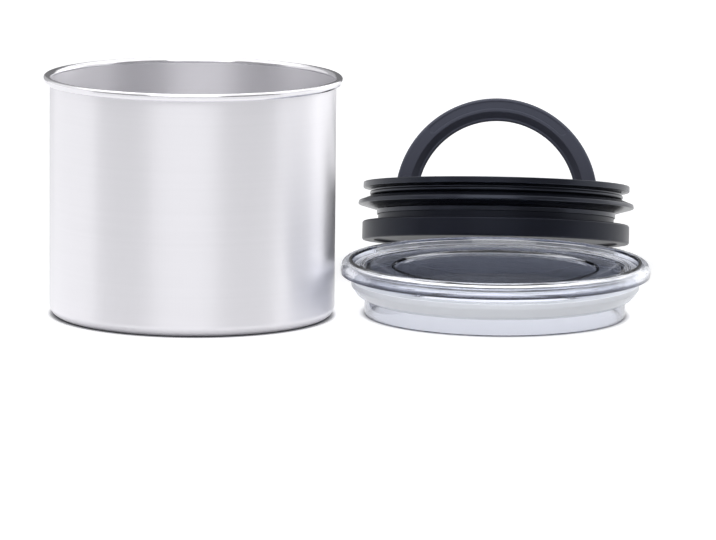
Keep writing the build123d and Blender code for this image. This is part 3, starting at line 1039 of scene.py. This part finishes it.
@dataclass(frozen=True)
class ClearLid:
    """The clear outer lid and its gasket.

    Fields whose use their names don't say:
        bead_round: share of the bead's size that its bends take.
        painted_band_height: height of the band of painted shade at the lip's bottom edge.
        painted_band_fade: share of that painted shade that is gone at the band's top.
        painted_deck_margin: how far inside the skirt's inner wall the deck's painted shade starts.
            skirt_painted_shade, deck_painted_shade: share of the painted shade on the skirt and the deck.
    """

    centre: float = 128.5
    radius: float = 65.9
    height: float = 23.4
    sheet: float = 1.7
    lip_depth: float = 6.4
    lip_slant: float = 0.6
    lip_edge: float = 0.7
    shoulder_bend: float = 3.9
    crest_width: float = 5.1
    crest_bend: float = 0.6
    crest_slope: float = 1.2
    deck_drop: float = 2.8
    deck_bend: float = 0.6
    disc_radius: float = 42.2
    disc_drop: float = 1.2
    disc_slope: float = 0.8
    disc_bend: float = 0.4
    bead_radius: float = 56.8
    bead_size: float = 0.6
    bead_foot: float = 0.12
    bead_round: float = 0.8
    skirt_radius: float = 55.4
    skirt_wall: float = 2.0
    skirt_edge: float = 0.8
    skirt_root: float = 0.25
    inner_bend: float = 0.15
    groove_depth: float = 0.5
    groove_lip: float = 0.1
    groove_bend: float = 0.05
    gasket_bottom: float = 7.0
    gasket_height: float = 7.4
    gasket_reach: float = 61.2
    gasket_slant: float = 0.5
    gasket_lip: float = 5.2
    gasket_foot: float = 0.06
    belly_reach: float = 3.1
    belly_rise: float = 1.5
    painted_band_height: float = 1.7
    painted_band_fade: float = 0.35
    painted_deck_margin: float = 0.1
    skirt_painted_shade: float = 0.42
    deck_painted_shade: float = 0.55
    gasket_bends: tuple[float, float, float, float] = (0.03, 3.0, 1.2, 0.5)
    arc_step: float = 7.5
    steps: int = 256

    def shell_line(self) -> list[Stop]:
        """Section of the whole shell: top sheet, bead, lip and skirt in one closed line.

        Returns:
            Its stops.
        """
        deck, top = self.height - self.deck_drop, self.gasket_bottom + self.gasket_height
        crest, roof = self.radius - self.crest_width, self.height - self.sheet
        under, lip = deck - self.sheet, self.height - self.lip_depth
        groove = self.skirt_radius - self.groove_depth
        shift = self.sheet * math.tan(math.atan2(self.deck_drop, self.crest_slope) / 2)
        disc_shift = self.sheet * math.tan(math.atan2(self.disc_drop, self.disc_slope) / 2)
        lean = math.atan2(self.lip_slant, self.lip_depth)
        stretch = (1 + math.sin(lean)) / math.cos(lean)
        bend = self.shoulder_bend
        corner = self.radius - bend + bend * stretch
        bead_in, bead_out = self.bead_radius - self.bead_size, self.bead_radius + self.bead_size
        painted_band_slant = self.lip_slant * (1 - self.painted_band_height / self.lip_depth)
        skirt_in, step = self.skirt_radius - self.skirt_wall, self.disc_radius + self.disc_slope
        corners = [
            (0, deck - self.disc_drop),
            (self.disc_radius, deck - self.disc_drop, self.disc_bend),
            (step, deck, self.disc_bend),
            (bead_in, deck, self.bead_foot),
            (bead_in, deck + self.bead_size, self.bead_size * self.bead_round),
            (bead_out, deck + self.bead_size, self.bead_size * self.bead_round),
            (bead_out, deck, self.bead_foot),
            (crest - self.crest_slope, deck, self.deck_bend),
            (crest, self.height, self.crest_bend),
            (corner, self.height, bend),
            # A stop at the top of the lip's band of painted shade.
            (corner - painted_band_slant, lip + self.painted_band_height),
            (corner - self.lip_slant, lip, self.lip_edge),
            (corner - self.lip_slant - self.sheet, lip + self.sheet * math.tan(lean), self.lip_edge),
            (corner - self.sheet * stretch, roof, bend - self.sheet),
            (crest + shift, roof, self.inner_bend),
            (crest - self.crest_slope + shift, under, self.deck_bend + self.sheet),
            (self.skirt_radius, under, self.skirt_root),
            (self.skirt_radius, top, self.groove_lip),
            (groove, top, self.groove_bend),
            (groove, self.gasket_bottom, self.groove_bend),
            (self.skirt_radius, self.gasket_bottom, self.groove_lip),
            (self.skirt_radius, 0, self.skirt_edge),
            (skirt_in, 0, self.skirt_edge / 2),
            (skirt_in, under, self.skirt_root),
            (step + disc_shift, under, self.inner_bend),
            (self.disc_radius + disc_shift, under - self.disc_drop, self.disc_bend + self.sheet),
            (0, under - self.disc_drop),
        ]
        return SectionLine(Ends.ON_AXIS, arc_step=self.arc_step).stops(corners)

    def gasket_line(self) -> list[Stop]:
        """Section of the wedge ring that fills the groove.

        Returns:
            Its stops.
        """
        groove, low = self.skirt_radius - self.groove_depth + FIT, self.gasket_bottom
        top = low + self.gasket_height - FIT
        foot, belly, lip, crown = self.gasket_bends
        corners = [
            (groove, low + FIT),
            (self.skirt_radius + self.gasket_foot, low + FIT, foot),
            (self.skirt_radius + self.belly_reach, low + self.belly_rise, belly),
            (self.gasket_reach, low + self.gasket_lip, lip),
            (self.gasket_reach - self.gasket_slant, top, crown),
            (groove, top),
        ]
        return SectionLine(Ends.RING).stops(corners)

    def mark_painted_shade(self, mesh: bpy.types.Mesh) -> None:
        """Marks painted shade on the clear plastic: a dark band at the lip's bottom edge standing in for
        the shaded gap under the lip, and a darker lower skirt and deck standing in for the shade seen in
        and through them.

        Args:
            mesh: the shell's mesh.
        """
        share = mesh.attributes.new(PAINTED_SHADE_SHARE, "FLOAT", "POINT")
        lip = self.height - self.lip_depth
        for vert in mesh.vertices:
            reach = math.hypot(vert.co.x / MM - self.centre, vert.co.y / MM)
            rise = vert.co.z / MM - lip
            # Painted shade: a dark band at the lip's bottom edge that fades upward, a darker deck and a
            # darker lower skirt.
            if reach > self.skirt_radius + self.belly_reach and rise < self.painted_band_height:
                shade_share = 1.0 - max(rise, 0.0) / self.painted_band_height * self.painted_band_fade
            elif reach < self.skirt_radius - self.skirt_wall - self.painted_deck_margin:
                shade_share = self.deck_painted_shade
            else:
                shade_share = self.skirt_painted_shade if rise < -self.lip_depth / 2 else 0.0
            share.data[vert.index].value = shade_share

    def build(self, shop: Workshop, book: FinishBook) -> None:
        """Turns the shell and the gasket.

        Args:
            shop: the workshop.
            book: the finishes.
        """
        place = Matrix.Translation((self.centre * MM, 0, 0))
        shell = shop.turned("clear_lid_shell", self.shell_line(), book.clear, place, self.steps)
        # Paints shade onto the shell through its own attribute.
        self.mark_painted_shade(shell.data)
        settle(shell, "clear_lid", "clear_plastic", "lid_shell")
        ring = shop.turned("clear_lid_gasket", self.gasket_line(), book.milky, place, self.steps)
        settle(ring, "clear_lid", "clear_silicone", "lid_gasket")


@dataclass(frozen=True)
class Lean:
    """The leaning frame of the inner lid, read from the handle's hinge and the valve's slide."""

    origin: Vector
    across: Vector
    back: Vector
    up: Vector
    pivot: float

    @staticmethod
    def read(pivot: float = 19.1) -> "Lean":
        """Reads the frame from the record.

        Args:
            pivot: height of the pivot line over the lid's bottom face, in millimetres.

        Returns:
            The leaning frame.
        """
        joints = {joint["name"]: joint for joint in frame["record"]["behaviour"]["joints"]}
        across = -Vector(joints["handle_fold"]["axis"]).normalized()
        up = Vector(joints["valve_lift"]["axis"]).normalized()
        origin = Vector(joints["handle_fold"]["pos_m"]) - up * (pivot * MM)
        return Lean(origin, across, up.cross(across), up, pivot)

    def at(self, across: float, back: float, up: float) -> Vector:
        """Point given in millimetres of the leaning frame."""
        return self.origin + (self.across * across + self.back * back + self.up * up) * MM

    def upright(self, across: float = 0.0, back: float = 0.0, up: float = 0.0) -> Matrix:
        """Placement at such a point whose x runs across and whose z runs up."""
        return place_of(self.at(across, back, up), self.across, self.up)

    def sideways(self, hand: int, across: float, up: float) -> Matrix:
        """Placement at such a point whose x runs back and whose z runs across to one hand."""
        return place_of(self.at(hand * across, 0, up), self.back, self.across * hand)


@dataclass(frozen=True)
class InnerLid:
    """The leaning inner lid: pan, top moulding, two seals and the valve's fixed pieces."""

    pan_radius: float = 59.525
    pan_height: float = 8.5
    pan_wall: float = 1.8
    pan_round: float = 1.0
    pan_floor: float = 1.6
    foot_width: float = 5.3
    foot_height: float = 1.2
    foot_round: float = 0.4
    screen_seat: float = 13.4
    screen_top: float = 2.0
    screen_hole: float = 12.1
    shoulder_depth: float = 1.5
    neck_radius: float = 52.575
    neck_top: float = 11.5
    seat_radius: float = 51.775
    neck_inner: float = 50.075
    top_height: float = 25.9
    top_edge: float = 1.4
    top_radius: float = 55.175
    dish_top: float = 14.4
    dish_floor: float = 1.6
    dish_corner: float = 1.5
    well_radius: float = 13.0
    well_wall: float = 1.6
    well_step: float = 1.0
    cap_seat: float = 14.6
    cap_bottom: float = 13.4
    curb: float = 0.6
    curb_outer: float = 17.6
    plate_low: float = 4.6
    plate_high: float = 6.0
    guide: float = 1.58
    fin_base: float = 53.175
    fin_bottom: float = 13.6
    fin_reach: float = 61.525
    fin_rise: float = 2.35
    fin_tip: float = 1.7
    fin_slant: float = 0.3
    fin_top: float = 19.7
    fin_root: float = 55.975
    bead_low: float = 20.0
    bead_high: float = 21.8
    bead_reach: float = 56.475
    groove: float = 55.575
    lip_reach: float = 59.375
    lip_low: float = 23.3
    lip_droop: float = 0.9
    fine: float = 0.1
    ledge: float = 0.15
    curb_foot: float = 0.2
    soft: float = 0.4
    blunt: float = 0.6
    bead_bend: float = 0.8
    groove_bend: float = 0.05
    ear_half: float = 4.4
    ear_inner: float = 45.575
    ear_outer: float = 50.475
    ear_sunk: float = 0.5
    ear_bevel: float = 0.35
    ear_steps: int = 24
    bore_radius: float = 2.06
    bore_low: float = -1.0
    bore_high: float = 3.1
    bore_steps: int = 48
    vent_count: int = 6
    vent_circle: float = 6.2
    vent_radius: float = 1.6
    vent_start: float = 1.0
    vent_depth: float = 3.4
    vent_steps: int = 32
    rest_half: float = 6.0
    rest_front: float = 36.225
    rest_back: float = 44.225
    rest_sunk: float = 0.2
    rest_depth: float = 1.85
    moulding_steps: int = 224
    seal_steps: int = 256
    spring: SpringSize = SpringSize(turns=3.0, radius=4.4, low=10.28, high=13.1, wire=0.22)

    def pan_line(self) -> list[Stop]:
        """Section of the pan.

        Returns:
            Its stops.
        """
        foot, shoulder = self.pan_radius - self.foot_width, self.pan_radius - self.pan_wall + FIT
        floor_top = self.foot_height + self.pan_floor
        corners = [
            (self.screen_seat, self.foot_height, self.fine),
            (foot, self.foot_height, self.foot_round),
            (foot, 0, self.foot_round),
            (self.pan_radius, 0, self.pan_round),
            (self.pan_radius, self.pan_height, self.pan_round),
            (shoulder, self.pan_height, self.ledge),
            (shoulder, floor_top, self.foot_round),
            (self.screen_hole, floor_top, self.fine),
            (self.screen_hole, self.screen_top, self.fine),
            (self.screen_seat, self.screen_top, self.fine),
        ]
        return SectionLine(Ends.RING).stops(corners)

    def top_line(self) -> list[Stop]:
        """Section of the top moulding, from its shoulder round its neck, edge, dish and well.

        Returns:
            Its stops.
        """
        shoulder, step = self.pan_radius - self.pan_wall, self.pan_height - self.shoulder_depth
        edge_low, curb_top = self.top_height - self.top_edge, self.dish_top + self.curb
        floor_low, well_low = self.dish_top - self.dish_floor, self.foot_height + self.pan_floor + FIT
        well_outer = self.well_radius + self.well_wall
        corners = [
            (self.neck_inner, step),
            (shoulder, step),
            (shoulder, self.pan_height, self.ledge),
            (self.neck_radius, self.pan_height, self.soft),
            (self.neck_radius, self.neck_top, self.fine),
            (self.seat_radius, self.neck_top),
            (self.seat_radius, edge_low),
            (self.top_radius, edge_low),
            (self.top_radius, self.top_height, self.soft),
            (self.neck_inner, self.top_height, self.soft),
            (self.neck_inner, self.dish_top, self.dish_corner),
            (self.curb_outer, self.dish_top, self.curb_foot),
            (self.curb_outer, curb_top, self.soft),
            (self.cap_seat, curb_top, self.fine),
            (self.cap_seat, self.cap_bottom),
            (self.well_radius, self.cap_bottom, self.fine),
            (self.well_radius, self.plate_high, self.soft),
            (self.guide, self.plate_high, self.fine),
            (self.guide, self.plate_low, self.fine),
            (self.well_radius, self.plate_low, self.soft),
            (self.well_radius, well_low),
            (well_outer, well_low),
            (well_outer, floor_low - self.well_step),
            (self.cap_seat + self.well_wall, floor_low),
            (self.neck_inner, floor_low),
        ]
        return SectionLine(Ends.RING).stops(corners)

    def fin_line(self) -> list[Stop]:
        """Section of the lower seal with its sloping fin.

        Returns:
            Its stops.
        """
        inner, tip = self.seat_radius + FIT, self.fin_bottom + self.fin_rise
        corners = [
            (inner, self.neck_top + FIT),
            (self.fin_base, self.neck_top + FIT, self.fine),
            (self.fin_base, self.fin_bottom, self.blunt),
            (self.fin_reach, tip, self.blunt),
            (self.fin_reach - self.fin_slant, tip + self.fin_tip, self.blunt),
            (self.fin_root, self.fin_top, self.blunt),
            (inner, self.fin_top),
        ]
        return SectionLine(Ends.RING).stops(corners)

    def lip_line(self) -> list[Stop]:
        """Section of the upper seal: bead, groove and thin lip.

        Returns:
            Its stops.
        """
        inner, under = self.seat_radius + FIT, self.top_height - self.top_edge - FIT
        corners = [
            (inner, self.bead_low),
            (self.bead_reach, self.bead_low, self.bead_bend),
            (self.bead_reach, self.bead_high, self.bead_bend),
            (self.groove, self.bead_high, self.groove_bend),
            (self.groove, self.lip_low - self.lip_droop, self.soft),
            (self.lip_reach, self.lip_low, self.soft),
            (self.lip_reach, self.top_height, self.soft),
            (self.top_radius + FIT, self.top_height, self.fine),
            (self.top_radius + FIT, under),
            (inner, under),
        ]
        return SectionLine(Ends.RING).stops(corners)

    def ear(self, shop: Workshop, book: FinishBook, lean: Lean, hand: int) -> bpy.types.Object:
        """Makes the block that carries one of the handle's stubs, bored for it.

        Args:
            shop: the workshop.
            book: the finishes.
            lean: the leaning frame.
            hand: -1 for the left ear and 1 for the right one.

        Returns:
            The ear.
        """
        half, foot = self.ear_half, self.dish_top - self.ear_sunk
        outline = [Stop(-half, foot), Stop(half, foot)]
        for step in range(self.ear_steps + 1):
            angle = math.pi * step / self.ear_steps
            outline.append(Stop(half * math.cos(angle), lean.pivot + half * math.sin(angle)))
        side = Matrix((lean.back, lean.up, lean.across)).transposed().to_4x4()
        place = Matrix.Translation(lean.at(hand * self.ear_inner, 0, 0)) @ side
        width = hand * (self.ear_outer - self.ear_inner)
        block = shop.block(outline, width, book.black, place, self.ear_bevel)
        bore = rod_line(self.bore_radius, self.bore_low, self.bore_high)
        bore_place = lean.sideways(hand, self.ear_inner, lean.pivot)
        shop.cut(block, shop.turned("bore", bore, book.black, bore_place, self.bore_steps))
        return block

    def top(self, shop: Workshop, book: FinishBook, lean: Lean) -> bpy.types.Object:
        """Turns the top moulding, cuts its vents and adds the rest pad and the ears.

        Args:
            shop: the workshop.
            book: the finishes.
            lean: the leaning frame.

        Returns:
            The whole top moulding.
        """
        line, steps = self.top_line(), self.moulding_steps
        moulding = shop.turned("inner_lid_moulding", line, book.black, lean.upright(), steps)
        hole = rod_line(self.vent_radius, 0, self.vent_depth)
        vents = []
        for index in range(self.vent_count):
            angle = 2 * math.pi * index / self.vent_count
            spot = (self.vent_circle * math.cos(angle), self.vent_circle * math.sin(angle))
            place = lean.upright(*spot, self.plate_low - self.vent_start)
            vents.append(shop.turned("vent", hole, book.black, place, self.vent_steps))
        shop.cut(moulding, shop.joined("vents", vents))
        half, front, back = self.rest_half, self.rest_front, self.rest_back
        rest = [Stop(-half, front), Stop(half, front), Stop(half, back), Stop(-half, back)]
        place = lean.upright(up=self.dish_top - self.rest_sunk)
        pad = shop.block(rest, self.rest_depth, book.black, place, self.soft)
        ears = [self.ear(shop, book, lean, hand) for hand in (-1, 1)]
        return shop.joined("inner_lid_top_moulding", [moulding, pad, *ears])

    def build(self, shop: Workshop, book: FinishBook, lean: Lean) -> None:
        """Turns the mouldings and seals and winds the spring.

        Args:
            shop: the workshop.
            book: the finishes.
            lean: the leaning frame.
        """
        place = lean.upright()
        pan = shop.turned("inner_lid_pan", self.pan_line(), book.black, place, self.moulding_steps)
        settle(pan, "inner_lid", "black_plastic", "inner_lid_base")
        settle(self.top(shop, book, lean), "inner_lid", "black_plastic", "inner_lid_top")
        fin = shop.turned("fin_seal", self.fin_line(), book.seal, place, self.seal_steps)
        settle(fin, "inner_lid", "black_silicone", "lower_fin_seal")
        lip = shop.turned("lip_seal", self.lip_line(), book.seal, place, self.seal_steps)
        settle(lip, "inner_lid", "black_silicone", "upper_lip_seal")
        foot = place @ Matrix.Translation((0, 0, self.spring.low * MM))
        coil = shop.coil("valve_coil", self.spring, book.wire, foot)
        settle(coil, "inner_lid", "spring_steel", "valve_spring")
        dress(("valve_cap", "valve_screen"), book.black)


@dataclass(frozen=True)
class Handle:
    """The bail: a banded half ring with bosses, stubs and eccentric pins."""

    outer: float = 45.175
    inner: float = 35.275
    half_depth: float = 2.75
    bevel: float = 0.8
    face_inner: float = 39.2
    face_runs: int = 22
    slope_inner: float = 36.575
    lip_inner: float = 35.875
    slope_depth: float = 3.3
    lip: float = 0.7
    softness: float = 0.22
    face_bend: float = 0.5
    end_bend: float = 0.3
    guard: float = 0.1
    pad_half_angle: float = 43.0
    pad_middle: float = 42.075
    pad_half_width: float = 1.8
    pad_depth: float = 0.25
    pad_wall: float = 0.3
    pad_skin: float = 0.02
    boss: float = 3.2
    stub: float = 2.0
    stub_end: float = 48.375
    stub_root: float = 0.05
    pin: float = 1.2
    pin_end: float = 32.075
    pin_root: float = 36.0
    pin_bend: float = 0.2
    pin_offset: float = 0.9
    band_steps: int = 260
    boss_steps: int = 64
    pin_steps: int = 40

    def band_line(self) -> list[Stop]:
        """Section of the band, its front face finely divided for the sunk pad.

        Returns:
            Its stops.
        """
        front, soft, edge = self.half_depth, self.softness, self.outer - self.bevel
        slope, run = front - self.slope_depth, (edge - self.face_inner) / self.face_runs
        corners = [
            (self.outer, front - self.bevel, soft),
            (edge, front, soft),
            *[(edge - index * run, front) for index in range(1, self.face_runs)],
            (self.face_inner, front, self.face_bend),
            (self.slope_inner, slope, self.end_bend),
            (self.lip_inner, slope, soft),
            (self.inner, slope - self.lip, soft),
            (self.inner, -front, soft),
            (edge, -front, soft),
            (self.outer, self.bevel - front, soft),
        ]
        return SectionLine(Ends.RING, guard=self.guard).stops(corners)

    def sink_pad(self, mesh: bpy.types.Mesh) -> None:
        """Presses the shallow pad with round ends into the front face, in the turning frame.

        Args:
            mesh: the band's mesh.
        """
        for vert in mesh.vertices:
            x, y, z = (value / MM for value in vert.co)
            if z < self.half_depth - self.pad_skin:
                continue
            over = max(abs(math.degrees(math.atan2(x, y))) - self.pad_half_angle, 0.0)
            along = math.radians(over) * self.pad_middle
            distance = math.hypot(math.hypot(x, y) - self.pad_middle, along)
            share = min(max((self.pad_half_width - distance) / self.pad_wall, 0.0), 1.0)
            vert.co.z -= self.pad_depth * MM * share * share * (3 - 2 * share)

    def build(self, shop: Workshop, book: FinishBook, lean: Lean) -> None:
        """Turns the band through half a circle and adds the turned ends.

        Args:
            shop: the workshop.
            book: the finishes.
            lean: the leaning frame.
        """
        line, flat = self.band_line(), Matrix.Identity(4)
        band = shop.turned("band", line, book.handle, flat, self.band_steps, sweep=math.pi)
        self.sink_pad(band.data)
        band.data.transform(place_of(lean.at(0, 0, lean.pivot), lean.across, -lean.back))
        boss_corners = [
            (0, self.inner),
            (self.boss, self.inner, self.end_bend),
            (self.boss, self.outer, self.end_bend),
            (self.stub, self.outer, self.stub_root),
            (self.stub, self.stub_end, self.end_bend),
            (0, self.stub_end),
        ]
        boss = SectionLine(Ends.ON_AXIS).stops(boss_corners)
        pin = rod_line(self.pin, self.pin_end, self.pin_root, self.pin_bend)
        offset = self.pin_offset * MM
        aside = Matrix.Translation(lean.back * offset + lean.up * offset)
        parts = [band]
        for hand in (-1, 1):
            end = lean.sideways(hand, 0, lean.pivot)
            parts.append(shop.turned("boss", boss, book.handle, end, self.boss_steps))
            parts.append(shop.turned("pin", pin, book.handle, aside @ end, self.pin_steps))
        settle(shop.joined("bail_handle", parts), "handle", "handle_plastic", "handle")


@dataclass(frozen=True)
class Valve:
    """The pieces that the handle's pins raise and lower."""

    def build(self, book: FinishBook) -> None:
        """Dresses the lifter, stem, disc and screw.

        Args:
            book: the finishes.
        """
        dress(("valve_lifter",), book.black)
        dress(("valve_stem",), book.white)
        dress(("valve_disc",), book.grey)
        dress(("stem_screw",), book.wire)


# Studio


def stand(bearing: float, distance: float, height: float = 0.0) -> Vector:
    """Place in metres, its bearing in degrees from the viewer's side towards the right."""
    turn = math.radians(bearing)
    return Vector((distance * math.sin(turn), -distance * math.cos(turn), height))


@dataclass(frozen=True)
class Softbox:
    """A large soft lamp that stands round the object and faces it.

    Fields:
        name: the lamp's name.
        bearing: where it stands, in degrees from the viewer's side towards the right.
        distance: how far from the canister's axis, in metres.
        height: height of its centre.
        size: its width and height.
        radiance: its brightness, where 1 is white.
        aim: the point that it faces.
    """

    name: str
    bearing: float
    distance: float
    height: float
    size: tuple[float, float]
    radiance: float
    aim: tuple[float, float, float] = (0.06, 0.03, 0.05)

    def build(self) -> None:
        """Adds the lamp."""
        lamp = bpy.data.lights.new(self.name, "AREA")
        lamp.shape = "RECTANGLE"
        lamp.size, lamp.size_y = self.size
        lamp.energy = self.radiance * math.pi * self.size[0] * self.size[1]
        place = stand(self.bearing, self.distance, self.height)
        facing = (Vector(self.aim) - place).to_track_quat("-Z", "Y").to_matrix().to_4x4()
        show(self.name, lamp).matrix_world = Matrix.Translation(place) @ facing


@dataclass(frozen=True)
class GreyCard:
    """A grey card that stands out of view and makes the darker bands in the steel.

    Fields:
        name: the card's name.
        bearing: where it stands, in degrees from the viewer's side towards the right.
        distance: how far from the canister's axis, in metres.
        size: its width and height.
        tone: how bright it shows in the steel, where 1 is white.
    """

    name: str
    bearing: float
    distance: float
    size: tuple[float, float]
    tone: float
    tint: Color = (0.98, 0.98, 1.0)

    def build(self) -> None:
        """Stands the card on the floor, facing the canister, where only reflections show it."""
        half, height = self.size[0] / 2, self.size[1]
        mesh = bpy.data.meshes.new(self.name)
        corners = [(-half, 0, 0), (half, 0, 0), (half, 0, height), (-half, 0, height)]
        mesh.from_pydata(corners, [], [(0, 1, 2, 3)])
        turn = Matrix.Rotation(math.radians(self.bearing), 4, "Z")
        mesh.transform(Matrix.Translation(stand(self.bearing, self.distance)) @ turn)
        glow = {"Emission Color": self.tint, "Emission Strength": self.tone}
        dull = {"Base Color": (0.0, 0.0, 0.0), "Specular IOR Level": 0.0}
        mesh.materials.append(open_material(self.name, {**dull, **glow})[0])
        card = show(self.name, mesh)
        card.visible_camera = card.visible_diffuse = card.visible_shadow = False
        card.visible_transmission = False


def background_rays(desk: NodeDesk) -> Socket:
    """Marks the rays that show the white background: the eye's, and those of metal and glass.

    Args:
        desk: the desk of the floor's or the world's tree.

    Returns:
        A value that is 1 for those rays and 0 for the rest.
    """
    path = desk.add("ShaderNodeLightPath").outputs
    mirrored = desk.math("MAXIMUM", path["Is Glossy Ray"], path["Is Transmission Ray"])
    return desk.math("MAXIMUM", path["Is Camera Ray"], mirrored)


@dataclass(frozen=True)
class Studio:
    """Pale floor, surround, lamps, cards and camera.

    Fields:
        floor_reach: half the floor's side, in metres.
        floor_glow, far_glow: what is added to the floor near the object and far away, so that it is white.
        glow_near, glow_far: the distances between which that changes.
        contact_reach: how far from a foot the floor darkens in its contact shadow.
        contact_color: the floor's colour in it.
        contact_power: how fast it fades.
        surround: how bright the world lights the object.
        camera_place: the camera's place in metres; its turns are in radians.
        focal_pixels: focal length in pixels of the photograph, which is frame_width wide.
    """

    floor_reach: float = 8.0
    floor_color: Color = (0.93, 0.93, 0.935)
    floor_roughness: float = 0.9
    floor_glow: float = 0.5
    far_glow: float = 0.86
    glow_near: float = 0.4
    glow_far: float = 2.4
    contact_reach: float = 0.0025
    contact_color: Color = (0.1, 0.1, 0.13)
    contact_power: float = 1.5
    contact_samples: int = 8
    surround: float = 0.18
    surround_color: Color = (0.95, 0.97, 1.0)
    camera_place: tuple[float, float, float] = (-0.0352349, -2.2416208, 0.3869066)
    camera_yaw: float = 0.047
    camera_pitch: float = 0.1626
    camera_roll: float = 0.0105
    focal_pixels: float = 5369.19
    frame_width: float = 716.0
    sensor_width: float = 36.0
    clip_range: tuple[float, float] = (0.05, 50.0)
    fittings: tuple[Softbox | GreyCard, ...] = (
        Softbox("key_softbox", -8, 1.5, 1.3, (1.7, 1.2), 1.7),
        Softbox("top_softbox", 180, 0.2, 1.8, (1.4, 1.4), 0.95),
        Softbox("left_softbox", -100, 1.1, 1.35, (1.2, 0.9), 0.7),
        Softbox("right_softbox", 100, 1.1, 1.35, (1.2, 0.9), 0.7),
        Softbox("back_softbox", 180, 1.3, 1.3, (1.4, 0.9), 0.65),
        Softbox("right_low_softbox", 128, 1.5, 0.5, (1.1, 0.9), 0.8),
        GreyCard("left_card", -57, 2.2, (2.2, 1.9), 0.35),
        GreyCard("right_card", 44, 2.2, (2.1, 1.9), 0.32),
        GreyCard("front_card", -6, 2.2, (1.96, 1.9), 0.42),
        GreyCard("left_back_card", -158, 1.2, (0.5, 1.0), 0.5),
        GreyCard("back_card", 172, 1.2, (0.8, 0.8), 0.2),
    )

    def floor(self) -> None:
        """Lays the floor, white where nothing shades it."""
        mesh, reach = bpy.data.meshes.new("floor"), self.floor_reach
        corners = [(-reach, -reach, 0), (reach, -reach, 0), (reach, reach, 0), (-reach, reach, 0)]
        mesh.from_pydata(corners, [], [(0, 1, 2, 3)])
        plain = {"Roughness": self.floor_roughness, "Specular IOR Level": 0.0}
        material, desk, shader = open_material("pale_floor", plain)
        reach, samples = {"Distance": self.contact_reach}, self.contact_samples
        openness = desk.add("ShaderNodeAmbientOcclusion", reach, samples=samples)
        clear = desk.math("POWER", openness.outputs["AO"], self.contact_power)
        # Painted contact shadow: the floor's colour darkens towards the contact colour where ambient
        # occlusion finds something close above it.
        desk.feed(shader, {"Base Color": desk.mix(clear, self.contact_color, self.floor_color)})
        length = desk.add("ShaderNodeVectorMath", {0: desk.place()}, operation="LENGTH").outputs["Value"]
        distances, glows = (self.glow_near, self.glow_far), (self.floor_glow, self.far_glow)
        lift = desk.ranged(length, distances, glows)
        seen = desk.math("MULTIPLY", background_rays(desk), clear)
        glow = desk.out("ShaderNodeEmission", {"Strength": desk.math("MULTIPLY", seen, lift)})
        both = desk.out("ShaderNodeAddShader", {0: shader.outputs[0], 1: glow})
        desk.feed(desk.find("OUTPUT_MATERIAL"), {"Surface": both})
        mesh.materials.append(material)
        show("floor", mesh)

    def world(self) -> None:
        """Sets the pale surround, white to the eye and to metal and glass."""
        world = bpy.data.worlds.new("surround")
        world.use_nodes = True
        bpy.context.scene.world = world
        desk = NodeDesk(world.node_tree)
        pale = [c * self.surround for c in self.surround_color]
        shown = desk.mix(background_rays(desk), pale, (1.0, 1.0, 1.0))
        desk.feed(desk.find("BACKGROUND"), {"Color": shown})

    def camera(self) -> None:
        """Sets the camera at the photograph's viewpoint."""
        yaw, pitch, roll = self.camera_yaw, self.camera_pitch, self.camera_roll
        level = math.cos(pitch)
        ahead = Vector((math.sin(yaw) * level, math.cos(yaw) * level, -math.sin(pitch)))
        right = Vector((math.cos(yaw), -math.sin(yaw), 0.0))
        above = right.cross(ahead)
        across = right * math.cos(roll) + above * math.sin(roll)
        up = above * math.cos(roll) - right * math.sin(roll)
        lens = bpy.data.cameras.new("camera")
        lens.sensor_width = self.sensor_width
        lens.lens = self.focal_pixels * lens.sensor_width / self.frame_width
        lens.clip_start, lens.clip_end = self.clip_range
        holder = show("camera", lens)
        turn = Matrix((across, up, -ahead)).transposed().to_4x4()
        holder.matrix_world = Matrix.Translation(self.camera_place) @ turn
        bpy.context.scene.camera = holder

    def build(self) -> None:
        """Sets up the whole studio."""
        self.floor()
        self.world()
        self.camera()
        for fitting in self.fittings:
            fitting.build()
        bpy.context.scene.view_settings.view_transform = "Standard"


def main() -> None:
    """Builds every sub-assembly in order."""
    logging.basicConfig(level=logging.INFO, format="%(name)s: %(message)s")
    shop, book, lean = Workshop(), FinishBook(), Lean.read()
    Canister().build(shop, book)
    ClearLid().build(shop, book)
    InnerLid().build(shop, book, lean)
    Handle().build(shop, book, lean)
    Valve().build(book)
    Studio().build()


if __name__ == "__main__":
    main()
